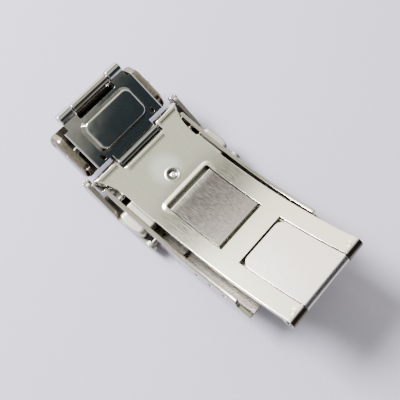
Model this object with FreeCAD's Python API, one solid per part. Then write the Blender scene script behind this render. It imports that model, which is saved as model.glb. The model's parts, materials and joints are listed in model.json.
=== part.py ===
import FreeCAD, Part
import math
import os

# Fold-over deployant clasp for a steel watch bracelet, closed, lying on its outer face.
# +X runs from the extension end to the fold hinge, +Y across the band, +Z to the wrist.
# Everything is modelled in a working frame whose origin is the lowest point of the
# outer blade's wrist face, then moved as one so that the origin of the finished part
# is under the middle of its box. All sizes are in millimetres.

Vector = FreeCAD.Vector
Y_AXIS = Vector(0, 1, 0)

# Running and sliding clearances
PIN_CLEARANCE = 0.04          # radial, hinge knuckle on its pin
SLIDE_CLEARANCE = 0.08        # push button in its hole, slide plate in its channel
KNUCKLE_GAP = 0.10            # between neighbouring knuckles
LAYER_GAP = 0.15              # between plates that fold over each other

# Outer blade: the curved frame on the wrist side
ARC_RADIUS = 50.5             # wrist face, in side view
OUTER_THICKNESS = 0.9
OUTER_WIDTH = 15.9
WING_WIDTH = 19.4             # over the flared extension end
WING_START_X = -3.8           # where the straight sides begin to flare
WING_RADIUS = 9.7
EXTENSION_HINGE_X = -8.95
FOLD_HINGE_X = 28.55
NOTCH_WIDTH = 9.64            # between the two extension knuckles
WINDOW_START_X = 2.15
WINDOW_LENGTH = 11.45
WINDOW_WIDTH = 9.84
BRIDGE_LENGTH = 3.4           # cross-bar between the window and the open slot
KNUCKLE_RADIUS = 1.05
HINGE_PIN_RADIUS = 0.55
EDGE_BREAK = 0.15             # rounding of the long edges
EDGE_ROLL = 0.4               # rolled cross edge of the notch
LOCK_STUD_RADIUS = 0.42       # stakes that lock the fold hinge pin
LOCK_STUD_DEPTH = 0.45

# Inner blade: the strap that shows through the window and the slot
INNER_TOP_STEP = 0.08         # its pads lie this far under the outer blade's face
INNER_SIDE_GAP = 0.17
PAD_GAP_NEAR = 0.75           # slit at the extension side of the window pad
PAD_GAP_FAR = 0.26            # slit at the fold side of the window pad
TONGUE_GAP = 0.66
TONGUE_CORNER = 1.5
INNER_BAR_RADIUS = 1.15       # knuckle in the cover
INNER_PIVOT_X = -7.0
STUD_WINDOW_HALF = 1.9        # half-width of the opening that the catch stud passes
STUD_WINDOW_LENGTH = 4.5

# Cover: the outer shell
COVER_WIDTH = 19.6
COVER_WALL = 0.74
COVER_FLOOR = 0.85
COVER_DEPTH = 6.4             # outer face under the outer blade's lowest wrist point
COVER_RADIUS = 50.0           # outer face, in side view
COVER_LOW_X = 1.0             # where the outer face is lowest
RIM_DROP = 1.1                # rim under the outer blade's lowest wrist point
RIM_RADIUS = 53.5
RIM_LOW_X = 2.0
RIM_ROUND = 0.3               # rounding of the rim's outer edge
COVER_START_X = -9.9
COVER_END_X = 23.9
COVER_EDGE = 1.3              # rounding along the outer long edges
WALL_CORNER = 0.9             # rounding of the walls' upper end corners
END_STEP_LENGTH = 3.0         # low part of the walls at the bracelet end
END_STEP_DROP = 1.9           # how far that part lies under the rim
WING_SEAT_X = -7.65           # walls are low from here on, under the blade's knuckles
BAR_HOLE_RADIUS = 0.5         # for the bracelet's spring bar
BAR_HOLE_COUNT = 3
BAR_HOLE_PITCH = 2.8
BAR_HOLE_END = 5.2            # last hole to the cover's end
BAR_HOLE_HEIGHT = 2.1         # over the inner floor

# Safety latch: the flap that closes over the extension end of the cover
LATCH_SHEET = 0.7
LATCH_LAYER_GAP = 0.08
LATCH_ARM = 0.75
LATCH_ARM_GAP = 0.55          # between cover wall and latch arm
LATCH_LENGTH = 12.7           # along the flap
LATCH_RECESS_X = 6.3          # end of the recess that takes the flap
LATCH_PIVOT_X = 3.7
LATCH_PIVOT_RADIUS = 0.55
LATCH_EAR_RADIUS = 1.15
LATCH_TIP_Z = -0.4            # middle of the snap pegs
LATCH_EDGE = 1.0              # rounding along the lower outer edges
ARM_RISE_X = -4.0             # from here to the tip the arm's lower edge rises
ARM_TIP_RISE = 1.0
LATCH_TAB_LENGTH = 1.1
LATCH_TAB_WIDTH = 8.0
PEG_RADIUS = 0.7

# Push buttons, their slides, springs and housing
BUTTON_LENGTH = 5.5
BUTTON_HEIGHT = 2.4
BUTTON_X = -0.55              # middle, along the clasp
BUTTON_REACH = 1.5            # out of the cover wall
BUTTON_BOW = 0.7             # how far its face falls back towards the ends
BUTTON_PLAN_CORNER = 0.7
BUTTON_CORNER = 1.0
BUTTON_TRAVEL = 0.8
BUTTON_BLOCK = 1.2            # part of the button inside the wall
BUTTON_LIP = 0.15             # how far that part overlaps the hole
STUD_X = -0.85
STUD_RIVET_RADIUS = 1.0
STUD_NECK_RADIUS = 0.6
STUD_HEAD_RADIUS = 1.0
STUD_HEAD_HEIGHT = 0.32
STUD_SWEEP = 0.8              # how far the head drifts while it leaves the housing
SLIDE_THICKNESS = 0.66
SLIDE_RAIL = 0.7
HOUSING_WALL = 0.45
HOUSING_LID = 0.55
SPRING_RADIUS = 0.5           # to the middle of the wire
SPRING_WIRE_RADIUS = 0.11
SPRING_TURNS = 6
SPRING_LENGTH = 3.6
SPRING_GAP = 0.03             # between a spring's end and what it bears on
SPRING_POST = 2.0             # post between the two springs

# Extension: folded plate, swing link and end link
EXTENSION_TILT = 26.0         # degrees, folded plate over the level
PLATE_THICKNESS = 0.85
PLATE_TOP = 0.77              # plate's wrist face over its hinge axis
PLATE_WIDTH = 15.5
PLATE_START = 1.8             # from the hinge axis
PLATE_EARS_START = 9.5
EAR_WIDTH = 13.7
SWING_AXIS_U = 11.62
SWING_AXIS_V = 0.5
SWING_KNUCKLE_RADIUS = 0.82
EAR_KNUCKLE_RADIUS = 1.02
EAR_KNUCKLE_GAP = 0.2          # between the link's knuckle and the ears
KNUCKLE_END_ROUND = 0.2        # rounding of the swing knuckles' ends
SWING_PIN_RADIUS = 0.42
LINK_WIDTH = 7.72
LINK_THICKNESS = 0.9
FLANGE_DEPTH = 1.7
FLANGE_THICKNESS = 0.8
BOSS_START = 2.6
BOSS_LENGTH = 6.35
BOSS_WIDTH = 11.1
BOSS_HEIGHT = 1.3
BOSS_SLOPE = 0.6              # how far the sides lean in, top against foot
BOSS_CORNER = 1.5
BOSS_EDGE = 0.35
SLOT_MARGIN = 0.57            # plate left between the raised panel and the link's slot
CORNER_HOLE_U = 2.65          # relief holes at the bent corners
CORNER_HOLE_Y = 5.8
CORNER_HOLE_RADIUS = 0.42
END_PIN_U = 6.4
END_PIN_V = -1.9
END_PIN_RADIUS = 0.55
END_LINK_WIDTH = 19.3
END_LINK_WALL = 1.5            # side walls
END_LINK_FLOOR = 0.9
END_LINK_EDGE = 1.0            # rounding of the outer edges
END_LINK_START = 1.6
END_LINK_LENGTH = 9.3
END_LINK_TOP = -0.6
END_LINK_BOTTOM = -5.1
END_BAR_RADIUS = 0.5
END_BAR_INSET = 1.6


def rounded_loop(corners, place):
    """Closed wire through corners (a, b, radius); place turns (a, b) into a point."""
    cuts = []
    count = len(corners)
    for i in range(count):
        corner = Vector(corners[i][0], corners[i][1], 0)
        before = Vector(corners[i - 1][0], corners[i - 1][1], 0) - corner
        after = Vector(corners[(i + 1) % count][0], corners[(i + 1) % count][1], 0) - corner
        before.normalize()
        after.normalize()
        radius = corners[i][2]
        if radius <= 0:
            cuts.append((corner, None, corner))
            continue
        half = before.getAngle(after) / 2
        reach = radius / math.tan(half)
        middle = before + after
        middle.normalize()
        bulge = corner + middle * (radius / math.sin(half) - radius)
        cuts.append((corner + before * reach, bulge, corner + after * reach))
    edges = []
    for i in range(count):
        start, bulge, end = cuts[i]
        following = cuts[(i + 1) % count][0]
        if bulge is not None:
            arc = Part.Arc(place(start), place(bulge), place(end))
            edges.append(arc.toShape())
        if end.distanceToPoint(following) > 1e-7:
            edges.append(Part.LineSegment(place(end), place(following)).toShape())
    return Part.Wire(edges)


def side_slab(corners, y_low, y_high):
    """Solid with a side-view outline of corners (x, z, radius) between two values of y."""
    wire = rounded_loop(corners, lambda p: Vector(p.x, y_low, p.y))
    return Part.Face(wire).extrude(Vector(0, y_high - y_low, 0))


def plan_slab(corners, z_low, z_high):
    """Solid with a plan outline of corners (x, y, radius) between two heights."""
    wire = rounded_loop(corners, lambda p: Vector(p.x, p.y, z_low))
    return Part.Face(wire).extrude(Vector(0, 0, z_high - z_low))


def rectangle(low_a, low_b, high_a, high_b, radius=0.0):
    """Corners of a rectangle with one corner radius."""
    spots = ((low_a, low_b), (high_a, low_b), (high_a, high_b), (low_a, high_b))
    return [(a, b, radius) for a, b in spots]


def block(low, high):
    """Plain box between two corners."""
    size = [high[i] - low[i] for i in range(3)]
    return Part.makeBox(size[0], size[1], size[2], Vector(*low))


def rod(x, z, radius, y_low, y_high):
    """Round bar across the clasp."""
    return Part.makeCylinder(radius, y_high - y_low, Vector(x, y_low, z), Y_AXIS)


def mirrored(solid):
    """The same solid on the other side of the clasp."""
    return solid.mirror(Vector(0, 0, 0), Y_AXIS)


def both_sides(solid):
    """The solid and its mirror image, as one shape of two solids."""
    return Part.makeCompound([solid, mirrored(solid)])


def joined(shapes):
    """One solid out of several that meet."""
    whole = shapes[0].multiFuse(shapes[1:]).removeSplitter()
    return whole


class Arch:
    """A family of arcs about one axis across the clasp, in side view."""

    def __init__(self, centre_x, centre_z):
        self.centre_x = centre_x
        self.centre_z = centre_z

    def angle(self, radius, x):
        return math.asin((x - self.centre_x) / radius)

    def point(self, radius, angle):
        x = self.centre_x + radius * math.sin(angle)
        return x, self.centre_z - radius * math.cos(angle)

    def height(self, radius, x):
        return self.centre_z - math.sqrt(radius ** 2 - (x - self.centre_x) ** 2)

    def band(self, r_near, r_far, x_low, x_high, y_low, y_high):
        """Curved plate between two radii, its ends square to the arc."""
        low = self.angle(r_near, x_low)
        high = self.angle(r_near, x_high)
        middle = (low + high) / 2

        def spot(radius, angle):
            x, z = self.point(radius, angle)
            return Vector(x, y_low, z)

        edges = [
            Part.Arc(spot(r_near, low), spot(r_near, middle), spot(r_near, high)).toShape(),
            Part.LineSegment(spot(r_near, high), spot(r_far, high)).toShape(),
            Part.Arc(spot(r_far, high), spot(r_far, middle), spot(r_far, low)).toShape(),
            Part.LineSegment(spot(r_far, low), spot(r_near, low)).toShape(),
        ]
        return Part.Face(Part.Wire(edges)).extrude(Vector(0, y_high - y_low, 0))


def edges_along(solid, test):
    """Edges of the solid that pass a test on their middle point and direction."""
    chosen = []
    for edge in solid.Edges:
        parameter = (edge.FirstParameter + edge.LastParameter) / 2
        if test(edge.valueAt(parameter), edge.tangentAt(parameter), edge):
            chosen.append(edge)
    return chosen


# Places that several pieces share
blades = Arch(0.0, ARC_RADIUS)
cover_arch = Arch(COVER_LOW_X, COVER_RADIUS - COVER_DEPTH)
rim_arch = Arch(RIM_LOW_X, RIM_RADIUS - RIM_DROP)

outer_half = OUTER_WIDTH / 2
wing_half = WING_WIDTH / 2
window_half = WINDOW_WIDTH / 2
notch_half = NOTCH_WIDTH / 2
inner_half = window_half - INNER_SIDE_GAP
window_end_x = WINDOW_START_X + WINDOW_LENGTH
slot_start_x = window_end_x + BRIDGE_LENGTH
pivot_arc = ARC_RADIUS + KNUCKLE_RADIUS
outer_back = ARC_RADIUS + OUTER_THICKNESS
inner_face = ARC_RADIUS + INNER_TOP_STEP
inner_low_face = outer_back + LAYER_GAP
fold_knuckle = pivot_arc - inner_face
inner_back = pivot_arc + fold_knuckle
fold_x = FOLD_HINGE_X
fold_z = blades.height(pivot_arc, fold_x)
hinge_x = EXTENSION_HINGE_X
hinge_z = blades.height(pivot_arc, hinge_x)

cover_half = COVER_WIDTH / 2
bay_half = cover_half - COVER_WALL
main_floor_arc = COVER_RADIUS - COVER_FLOOR
latch_face_arc = COVER_RADIUS - LATCH_SHEET
raised_back_arc = latch_face_arc - LATCH_LAYER_GAP
raised_floor_arc = raised_back_arc - COVER_FLOOR
pivot_x = INNER_PIVOT_X
pivot_z = cover_arch.height(raised_floor_arc, pivot_x) + INNER_BAR_RADIUS + LAYER_GAP

lid_top = -(inner_back - ARC_RADIUS) - LAYER_GAP
lid_back = lid_top - HOUSING_LID
slide_tops = {-1: lid_back - SLIDE_CLEARANCE}
slide_tops[1] = slide_tops[-1] - SLIDE_THICKNESS - SLIDE_CLEARANCE
slide_base = slide_tops[1] - SLIDE_THICKNESS
button_low_z = slide_base - SLIDE_CLEARANCE
button_high_z = button_low_z + BUTTON_HEIGHT
button_low_x = BUTTON_X - BUTTON_LENGTH / 2
button_high_x = BUTTON_X + BUTTON_LENGTH / 2
block_end = bay_half - SLIDE_CLEARANCE
block_start = block_end - BUTTON_BLOCK
housing_half = block_start - BUTTON_TRAVEL - SLIDE_CLEARANCE
stud_low_x = STUD_X - STUD_HEAD_RADIUS - STUD_SWEEP - SLIDE_CLEARANCE
stud_high_x = STUD_X + STUD_HEAD_RADIUS + SLIDE_CLEARANCE
slide_low_x = stud_low_x - SLIDE_RAIL
spring_x = stud_high_x + SLIDE_CLEARANCE + SPRING_RADIUS + SPRING_WIRE_RADIUS + 0.35
spring_z = (slide_tops[-1] + slide_base) / 2
slide_high_x = spring_x + SPRING_RADIUS + SPRING_WIRE_RADIUS + SLIDE_CLEARANCE
housing_low_x = slide_low_x - SLIDE_CLEARANCE - HOUSING_WALL
housing_high_x = slide_high_x + SLIDE_CLEARANCE + HOUSING_WALL

arm_low = cover_half + LATCH_ARM_GAP
arm_high = arm_low + LATCH_ARM
latch_pivot_z = button_low_z
latch_end_x = LATCH_PIVOT_X - 2 * LATCH_EAR_RADIUS
latch_start_x = latch_end_x - LATCH_LENGTH
peg_x = latch_start_x + PEG_RADIUS

plate_half = PLATE_WIDTH / 2
ear_half = EAR_WIDTH / 2
link_half = LINK_WIDTH / 2
end_half = END_LINK_WIDTH / 2
end_bay_half = end_half - END_LINK_WALL


def outer_blade():
    """Curved frame with a window, an open slot and a knuckle at each corner."""
    plate = blades.band(ARC_RADIUS, outer_back, hinge_x, fold_x, -wing_half, wing_half)
    knuckles = [
        rod(hinge_x, hinge_z, KNUCKLE_RADIUS, -wing_half, wing_half),
        rod(fold_x, fold_z, KNUCKLE_RADIUS, -outer_half, outer_half),
    ]
    body = joined([plate] + knuckles)
    body = body.common(outer_blade_outline())
    far = ARC_RADIUS - OUTER_THICKNESS
    deep = pivot_arc + 2 * KNUCKLE_RADIUS
    beyond = fold_x + 2 * KNUCKLE_RADIUS
    window = blades.band(far, deep, WINDOW_START_X, window_end_x, -window_half, window_half)
    slot = blades.band(far, deep, slot_start_x, beyond, -window_half, window_half)
    notch_end = hinge_x + KNUCKLE_RADIUS + LAYER_GAP
    notch = block(
        (hinge_x - 2 * KNUCKLE_RADIUS, -notch_half, hinge_z - 2 * KNUCKLE_RADIUS),
        (notch_end, notch_half, hinge_z + 3 * KNUCKLE_RADIUS),
    )
    holes = [
        rod(hinge_x, hinge_z, HINGE_PIN_RADIUS, -wing_half, wing_half),
        rod(fold_x, fold_z, HINGE_PIN_RADIUS, -outer_half, outer_half),
        stud_rivet(STUD_RIVET_RADIUS),
    ]
    body = body.cut([window, slot, notch] + holes + lock_studs())
    return soften_outer_blade(body)


def outer_blade_outline():
    """Plan of the outer blade: straight sides that flare into two wings."""
    start = WING_START_X
    end = hinge_x - KNUCKLE_RADIUS
    rise = wing_half - outer_half
    run = math.sqrt(WING_RADIUS ** 2 - (WING_RADIUS - rise) ** 2)
    half_turn = math.asin(run / WING_RADIUS) / 2
    beyond = fold_x + 2 * KNUCKLE_RADIUS

    def side(sign):
        foot = Vector(start, sign * outer_half, 0)
        bulge_y = outer_half + WING_RADIUS * (1 - math.cos(half_turn))
        bulge = Vector(start - WING_RADIUS * math.sin(half_turn), sign * bulge_y, 0)
        tip = Vector(start - run, sign * wing_half, 0)
        return foot, bulge, tip

    left = side(-1)
    right = side(1)
    ring = [
        Part.LineSegment(Vector(beyond, right[0].y, 0), right[0]).toShape(),
        Part.Arc(*right).toShape(),
        Part.LineSegment(right[2], Vector(end, right[2].y, 0)).toShape(),
        Part.LineSegment(Vector(end, right[2].y, 0), Vector(end, left[2].y, 0)).toShape(),
        Part.LineSegment(Vector(end, left[2].y, 0), left[2]).toShape(),
        Part.Arc(left[2], left[1], left[0]).toShape(),
        Part.LineSegment(left[0], Vector(beyond, left[0].y, 0)).toShape(),
        Part.LineSegment(Vector(beyond, left[0].y, 0), Vector(beyond, right[0].y, 0)).toShape(),
    ]
    face = Part.Face(Part.Wire(ring))
    face.translate(Vector(0, 0, -3 * KNUCKLE_RADIUS))
    return face.extrude(Vector(0, 0, fold_z + 6 * KNUCKLE_RADIUS))


def soften_outer_blade(body):
    """Break the long top edges and roll the cross edge of the notch."""
    def on_face(point):
        return abs(point.z - blades.height(ARC_RADIUS, point.x)) < 0.02

    def long_top_edge(point, direction, edge):
        on_side = abs(point.y) > outer_half - 0.01
        return on_face(point) and on_side and abs(direction.y) < 0.9 and edge.Length > 2

    def rolled_edge(point, direction, edge):
        across = abs(direction.y) > 0.99 and abs(point.y) < 0.01 and edge.Length > 8
        return on_face(point) and across and point.x < STUD_X
    body = body.makeFillet(EDGE_BREAK, edges_along(body, long_top_edge))
    return body.makeFillet(EDGE_ROLL, edges_along(body, rolled_edge))


def stud_rivet(radius):
    """Round bar through the outer blade at the catch stud."""
    high = blades.height(ARC_RADIUS, STUD_X)
    low = blades.height(outer_back, STUD_X)
    return Part.makeCylinder(radius, high - low + 0.5, Vector(STUD_X, 0, low - 0.25))


def lock_studs():
    """Two stakes over the fold hinge pin, square to the blade's face."""
    angle = blades.angle(pivot_arc, fold_x)
    inward = Vector(-math.sin(angle), 0, math.cos(angle))
    x, z = blades.point(ARC_RADIUS + LOCK_STUD_DEPTH, angle)
    y = (outer_half + window_half) / 2
    stakes = []
    for sign in (-1, 1):
        foot = Vector(x, sign * y, z)
        stakes.append(Part.makeCylinder(LOCK_STUD_RADIUS, LOCK_STUD_DEPTH + 0.5, foot, inward))
    return stakes


def hinge_lock_studs():
    """The stakes, ended level with the blade's face."""
    trim = blades.band(ARC_RADIUS - 0.03, outer_back, slot_start_x, fold_x + 1, -outer_half, outer_half)
    return Part.makeCompound([stake.common(trim) for stake in lock_studs()])


def catch_stud():
    """Rivet in the outer blade with the mushroom that the slides hold."""
    high = blades.height(ARC_RADIUS, STUD_X)
    low = blades.height(outer_back, STUD_X)
    head_low = slide_base - SLIDE_CLEARANCE - STUD_HEAD_HEIGHT
    rivet = Part.makeCylinder(STUD_RIVET_RADIUS, high - low - 0.12, Vector(STUD_X, 0, low))
    rim = Part.makeCylinder(STUD_RIVET_RADIUS, 0.12, Vector(STUD_X, 0, high - 0.12))
    bowl = Part.makeSphere(1.3, Vector(STUD_X, 0, high + 1.02))
    neck = Part.makeCylinder(STUD_NECK_RADIUS, low - head_low, Vector(STUD_X, 0, head_low))
    head = Part.makeCylinder(STUD_HEAD_RADIUS, STUD_HEAD_HEIGHT, Vector(STUD_X, 0, head_low))
    head = head.makeChamfer(0.12, [e for e in head.Edges if e.CenterOfMass.z < head_low + 0.01])
    return joined([rivet, rim, neck, head]).cut(bowl)


def hinge_pin(x, z, radius, half_length):
    """Pin with lightly rounded ends."""
    pin = rod(x, z, radius, -half_length, half_length)
    return pin.makeChamfer(0.12, [e for e in pin.Edges if abs(e.CenterOfMass.y) > half_length - 0.01])


def inner_blade():
    """Strap with two raised pads, and a wide knuckle that turns in the cover."""
    strap_x = housing_low_x + 0.3
    strap = blades.band(inner_low_face, inner_back, strap_x, fold_x, -inner_half, inner_half)
    pad = blades.band(
        inner_face, inner_low_face + 0.3,
        WINDOW_START_X + PAD_GAP_NEAR, window_end_x - PAD_GAP_FAR,
        -inner_half, inner_half,
    )
    pad = soften_pad(pad)
    tongue_x = slot_start_x + TONGUE_GAP
    tongue = blades.band(inner_face, inner_low_face + 0.3, tongue_x, fold_x, -inner_half, inner_half)
    tongue = tongue.common(tongue_outline(tongue_x))
    fold = rod(fold_x, fold_z, fold_knuckle, -inner_half, inner_half)
    shapes = [strap, pad, tongue, fold] + inner_blade_arm(strap_x)
    body = joined(shapes)
    holes = [
        rod(fold_x, fold_z, HINGE_PIN_RADIUS + PIN_CLEARANCE, -inner_half, inner_half),
        rod(pivot_x, pivot_z, HINGE_PIN_RADIUS + PIN_CLEARANCE, -bay_half, bay_half),
        stud_window(),
    ]
    return body.cut(holes)


def soften_pad(pad):
    """Round the cross edges of the window pad's face."""
    def cross_top(point, direction, edge):
        on_face = abs(point.z - blades.height(inner_face, point.x)) < 0.01
        return on_face and abs(direction.y) > 0.9
    return pad.makeFillet(0.25, edges_along(pad, cross_top))


def tongue_outline(start_x):
    """Plan of the tongue in the slot, with two round corners."""
    corners = [
        (start_x, -inner_half, TONGUE_CORNER),
        (fold_x + 3, -inner_half, 0),
        (fold_x + 3, inner_half, 0),
        (start_x, inner_half, TONGUE_CORNER),
    ]
    return plan_slab(corners, -5, fold_z + 5)


def inner_blade_arm(strap_x):
    """Arm from the strap down to the knuckle, wide at its lower end."""
    half_thickness = (inner_back - inner_low_face) / 2
    top_x = strap_x
    top_z = blades.height(inner_low_face + half_thickness, top_x)
    wide_share = 0.42
    wide_x = top_x + wide_share * (pivot_x - top_x)
    wide_z = top_z + wide_share * (pivot_z - top_z)
    wide_half = bay_half - KNUCKLE_GAP
    return [
        capsule((top_x, top_z), (pivot_x, pivot_z), half_thickness, inner_half),
        capsule((wide_x, wide_z), (pivot_x, pivot_z), half_thickness, wide_half),
        rod(pivot_x, pivot_z, INNER_BAR_RADIUS, -wide_half, wide_half),
    ]


def capsule(start, end, radius, half_width):
    """Bar between two points in side view, round at both ends."""
    along = Vector(end[0] - start[0], end[1] - start[1], 0)
    along.normalize()
    across = Vector(-along.y, along.x, 0) * radius
    first = Vector(start[0], start[1], 0)
    last = Vector(end[0], end[1], 0)
    spots = [first + across, last + across, last - across, first - across]
    bar = side_slab([(p.x, p.y, 0) for p in spots], -half_width, half_width)
    ends = [rod(p[0], p[1], radius, -half_width, half_width) for p in (start, end)]
    return joined([bar] + ends)


def stud_window():
    """Opening in the strap for the catch stud."""
    high_x = stud_high_x + 0.4
    corners = rectangle(high_x - STUD_WINDOW_LENGTH, -STUD_WINDOW_HALF, high_x, STUD_WINDOW_HALF, 0.6)
    return plan_slab(corners, lid_back, 0)


def cover_shell():
    """Curved channel with button holes, bar holes and a recess for the latch flap."""
    high = COVER_RADIUS - 2 * COVER_DEPTH
    start, end = COVER_START_X, COVER_END_X
    recess = LATCH_RECESS_X
    main = cover_arch.band(high, COVER_RADIUS, recess, end, -cover_half, cover_half)
    raised = cover_arch.band(high, raised_back_arc, start, recess, -cover_half, cover_half)
    main = round_long_edges(main, COVER_RADIUS, COVER_EDGE)
    raised = round_long_edges(raised, raised_back_arc, COVER_EDGE / 2)
    body = joined([main, raised]).common(cover_ends())
    floor = recess + COVER_FLOOR
    bay_main = cover_arch.band(high, main_floor_arc, floor, end + 2, -bay_half, bay_half)
    bay_raised = cover_arch.band(high, raised_floor_arc, start - 2, end, -bay_half, bay_half)
    bay_main = round_long_edges(bay_main, main_floor_arc, COVER_WALL / 3)
    bay_raised = round_long_edges(bay_raised, raised_floor_arc, COVER_WALL / 3)
    body = body.cut([bay_main, bay_raised, over_the_rim()])
    body = soften_rim(body)
    return body.cut(cover_holes())


def cover_ends():
    """Room between the two end planes of the cover."""
    return block((COVER_START_X, -cover_half, -2 * COVER_DEPTH), (COVER_END_X, cover_half, COVER_DEPTH))


def over_the_rim():
    """Everything over the cover's rim, which is low at the wings and at the bracelet end."""
    wide = cover_half + 1
    highest = 2 * COVER_DEPTH
    seat = hinge_z - KNUCKLE_RADIUS - LAYER_GAP
    step_x = COVER_END_X - END_STEP_LENGTH
    step_z = rim_arch.height(RIM_RADIUS, step_x) - END_STEP_DROP
    high = RIM_RADIUS - 2 * COVER_DEPTH
    bow = rim_arch.band(high, RIM_RADIUS, COVER_START_X - 4, COVER_END_X + 4, -wide, wide)
    wings = side_slab([
        (COVER_START_X - 2, seat, 0),
        (WING_SEAT_X, seat, WALL_CORNER / 2),
        (WING_SEAT_X + WALL_CORNER, highest, 0),
        (COVER_START_X - 2, highest, 0),
    ], -wide, wide)
    end = side_slab([
        (step_x, step_z, WALL_CORNER),
        (COVER_END_X + 2, step_z, 0),
        (COVER_END_X + 2, highest, 0),
        (step_x - WALL_CORNER, highest, 0),
    ], -wide, wide)
    return joined([bow, wings, end])


def round_long_edges(solid, radius, size):
    """Round the two long edges of a band at one of its radii."""
    def long_edge(point, direction, edge):
        spot = math.hypot(point.x - cover_arch.centre_x, point.z - cover_arch.centre_z)
        return abs(spot - radius) < 0.01 and abs(direction.y) < 0.5
    return solid.makeFillet(size, edges_along(solid, long_edge))


def soften_rim(body):
    """Round the outer edge of the cover's rim."""
    def rim_edge(point, direction, edge):
        spot = math.hypot(point.x - rim_arch.centre_x, point.z - rim_arch.centre_z)
        outer = abs(abs(point.y) - cover_half) < 0.01
        return abs(spot - RIM_RADIUS) < 0.01 and outer and abs(direction.y) < 0.5
    return body.makeFillet(RIM_ROUND, edges_along(body, rim_edge))


def cover_holes():
    """Everything that is pierced through the cover's two walls."""
    wide = cover_half + 1
    gap = SLIDE_CLEARANCE
    window = rectangle(
        button_low_x - gap, button_low_z - gap, button_high_x + gap, button_high_z + gap,
        BUTTON_CORNER + gap,
    )
    cutters = [
        side_slab(window, -wide, wide),
        rod(pivot_x, pivot_z, HINGE_PIN_RADIUS, -wide, wide),
        rod(LATCH_PIVOT_X, latch_pivot_z, LATCH_PIVOT_RADIUS, -wide, wide),
    ]
    for x, z in bar_hole_spots():
        cutters.append(rod(x, z, BAR_HOLE_RADIUS, -wide, wide))
    return cutters


def bar_hole_spots():
    """Middles of the adjustment holes, in side view."""
    spots = []
    for i in range(BAR_HOLE_COUNT):
        x = COVER_END_X - BAR_HOLE_END - i * BAR_HOLE_PITCH
        spots.append((x, cover_arch.height(main_floor_arc - BAR_HOLE_HEIGHT, x)))
    return spots


def housing_frame():
    """Channel on the cover's floor that guides the slides, with the spring post."""
    low = cover_arch.height(raised_floor_arc, COVER_LOW_X) - 0.2
    walls = [
        block((housing_low_x, -housing_half, low), (housing_low_x + HOUSING_WALL, housing_half, lid_back)),
        block((housing_high_x - HOUSING_WALL, -housing_half, low), (housing_high_x, housing_half, lid_back)),
    ]
    post_half = SPRING_RADIUS + SPRING_WIRE_RADIUS
    walls.append(block(
        (spring_x - post_half, -SPRING_POST / 2, low),
        (spring_x + post_half, SPRING_POST / 2, lid_back),
    ))
    base = cover_arch.band(
        raised_floor_arc - 0.3, raised_floor_arc,
        housing_low_x, housing_high_x, -housing_half, housing_half,
    )
    under = cover_arch.band(
        raised_floor_arc, COVER_RADIUS,
        COVER_START_X, COVER_END_X, -bay_half, bay_half,
    )
    room = block(
        (stud_low_x - KNUCKLE_GAP, -STUD_WINDOW_HALF, low - 1),
        (stud_high_x + KNUCKLE_GAP, STUD_WINDOW_HALF, slide_base),
    )
    return joined(walls + [base]).cut([under, room])


def housing_lid():
    """Plate over the slides with the opening that the catch stud enters."""
    plate = block((housing_low_x, -housing_half, lid_back), (housing_high_x, housing_half, lid_top))
    half = STUD_HEAD_RADIUS + SLIDE_CLEARANCE + 0.1
    mouth = plan_slab(rectangle(stud_low_x, -half, stud_high_x, half, 0.5), lid_back - 1, lid_top + 1)
    return plate.cut(mouth)


def button(side):
    """Push button: rounded head outside the wall, wider block inside."""
    outline = rectangle(button_low_x, button_low_z, button_high_x, button_high_z, BUTTON_CORNER)
    tip = cover_half + BUTTON_REACH
    head = side_slab(outline, block_end - 0.2, tip)
    dome = button_dome(tip)
    head = head.common(dome)
    lip = BUTTON_LIP
    inside = rectangle(
        button_low_x - lip, button_low_z + SLIDE_CLEARANCE, button_high_x + lip, button_high_z + lip, 0.4,
    )
    inner = side_slab(inside, block_start, block_end)
    body = joined([head, inner])
    if side < 0:
        body = mirrored(body)
    return body.cut(slide_tenon(side))


def button_dome(tip):
    """Plan outline of the button's head: a shallow bow between two round corners."""
    half = BUTTON_LENGTH / 2
    start = block_end - 1
    corner = BUTTON_PLAN_CORNER
    bow_radius = 0.55 * half ** 2 / BUTTON_BOW
    corners = [
        (BUTTON_X - half, start, 0),
        (BUTTON_X - half, tip - BUTTON_BOW, corner),
        (BUTTON_X, tip, bow_radius),
        (BUTTON_X + half, tip - BUTTON_BOW, corner),
        (BUTTON_X + half, start, 0),
    ]
    return plan_slab(corners, button_low_z - 1, button_high_z + 1)


def slide_tenon(side):
    """End of a slide plate, held in its button's block."""
    top = slide_tops[side]
    tenon = block(
        (BUTTON_X - BUTTON_LENGTH / 4, block_start, top - SLIDE_THICKNESS),
        (BUTTON_X + BUTTON_LENGTH / 4, block_start + BUTTON_BLOCK / 2, top),
    )
    return tenon if side > 0 else mirrored(tenon)


def button_slide(side):
    """Flat slide with a hook window around the stud and a shoulder for its spring."""
    top = slide_tops[side]
    low = top - SLIDE_THICKNESS
    hook_inner = STUD_HEAD_RADIUS + SLIDE_CLEARANCE
    reach = -(hook_inner + SLIDE_RAIL)
    shoulder = SPRING_POST / 2 + SPRING_LENGTH
    narrow_x = stud_high_x + 0.35
    plate = [
        block((slide_low_x, reach, low), (narrow_x, block_start, top)),
        block((slide_low_x, shoulder, low), (slide_high_x, block_start, top)),
        block((narrow_x - 0.2, shoulder, slide_base), (slide_high_x, shoulder + 0.5, slide_tops[-1])),
        slide_tenon(1).translated(Vector(0, 0, top - slide_tops[1])),
    ]
    body = joined(plate)
    window = rectangle(
        stud_low_x, -hook_inner, stud_high_x, hook_inner + BUTTON_TRAVEL + SLIDE_CLEARANCE, 0.3,
    )
    body = body.cut(plan_slab(window, low - 1, top + 1))
    return body if side > 0 else mirrored(body)


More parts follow.
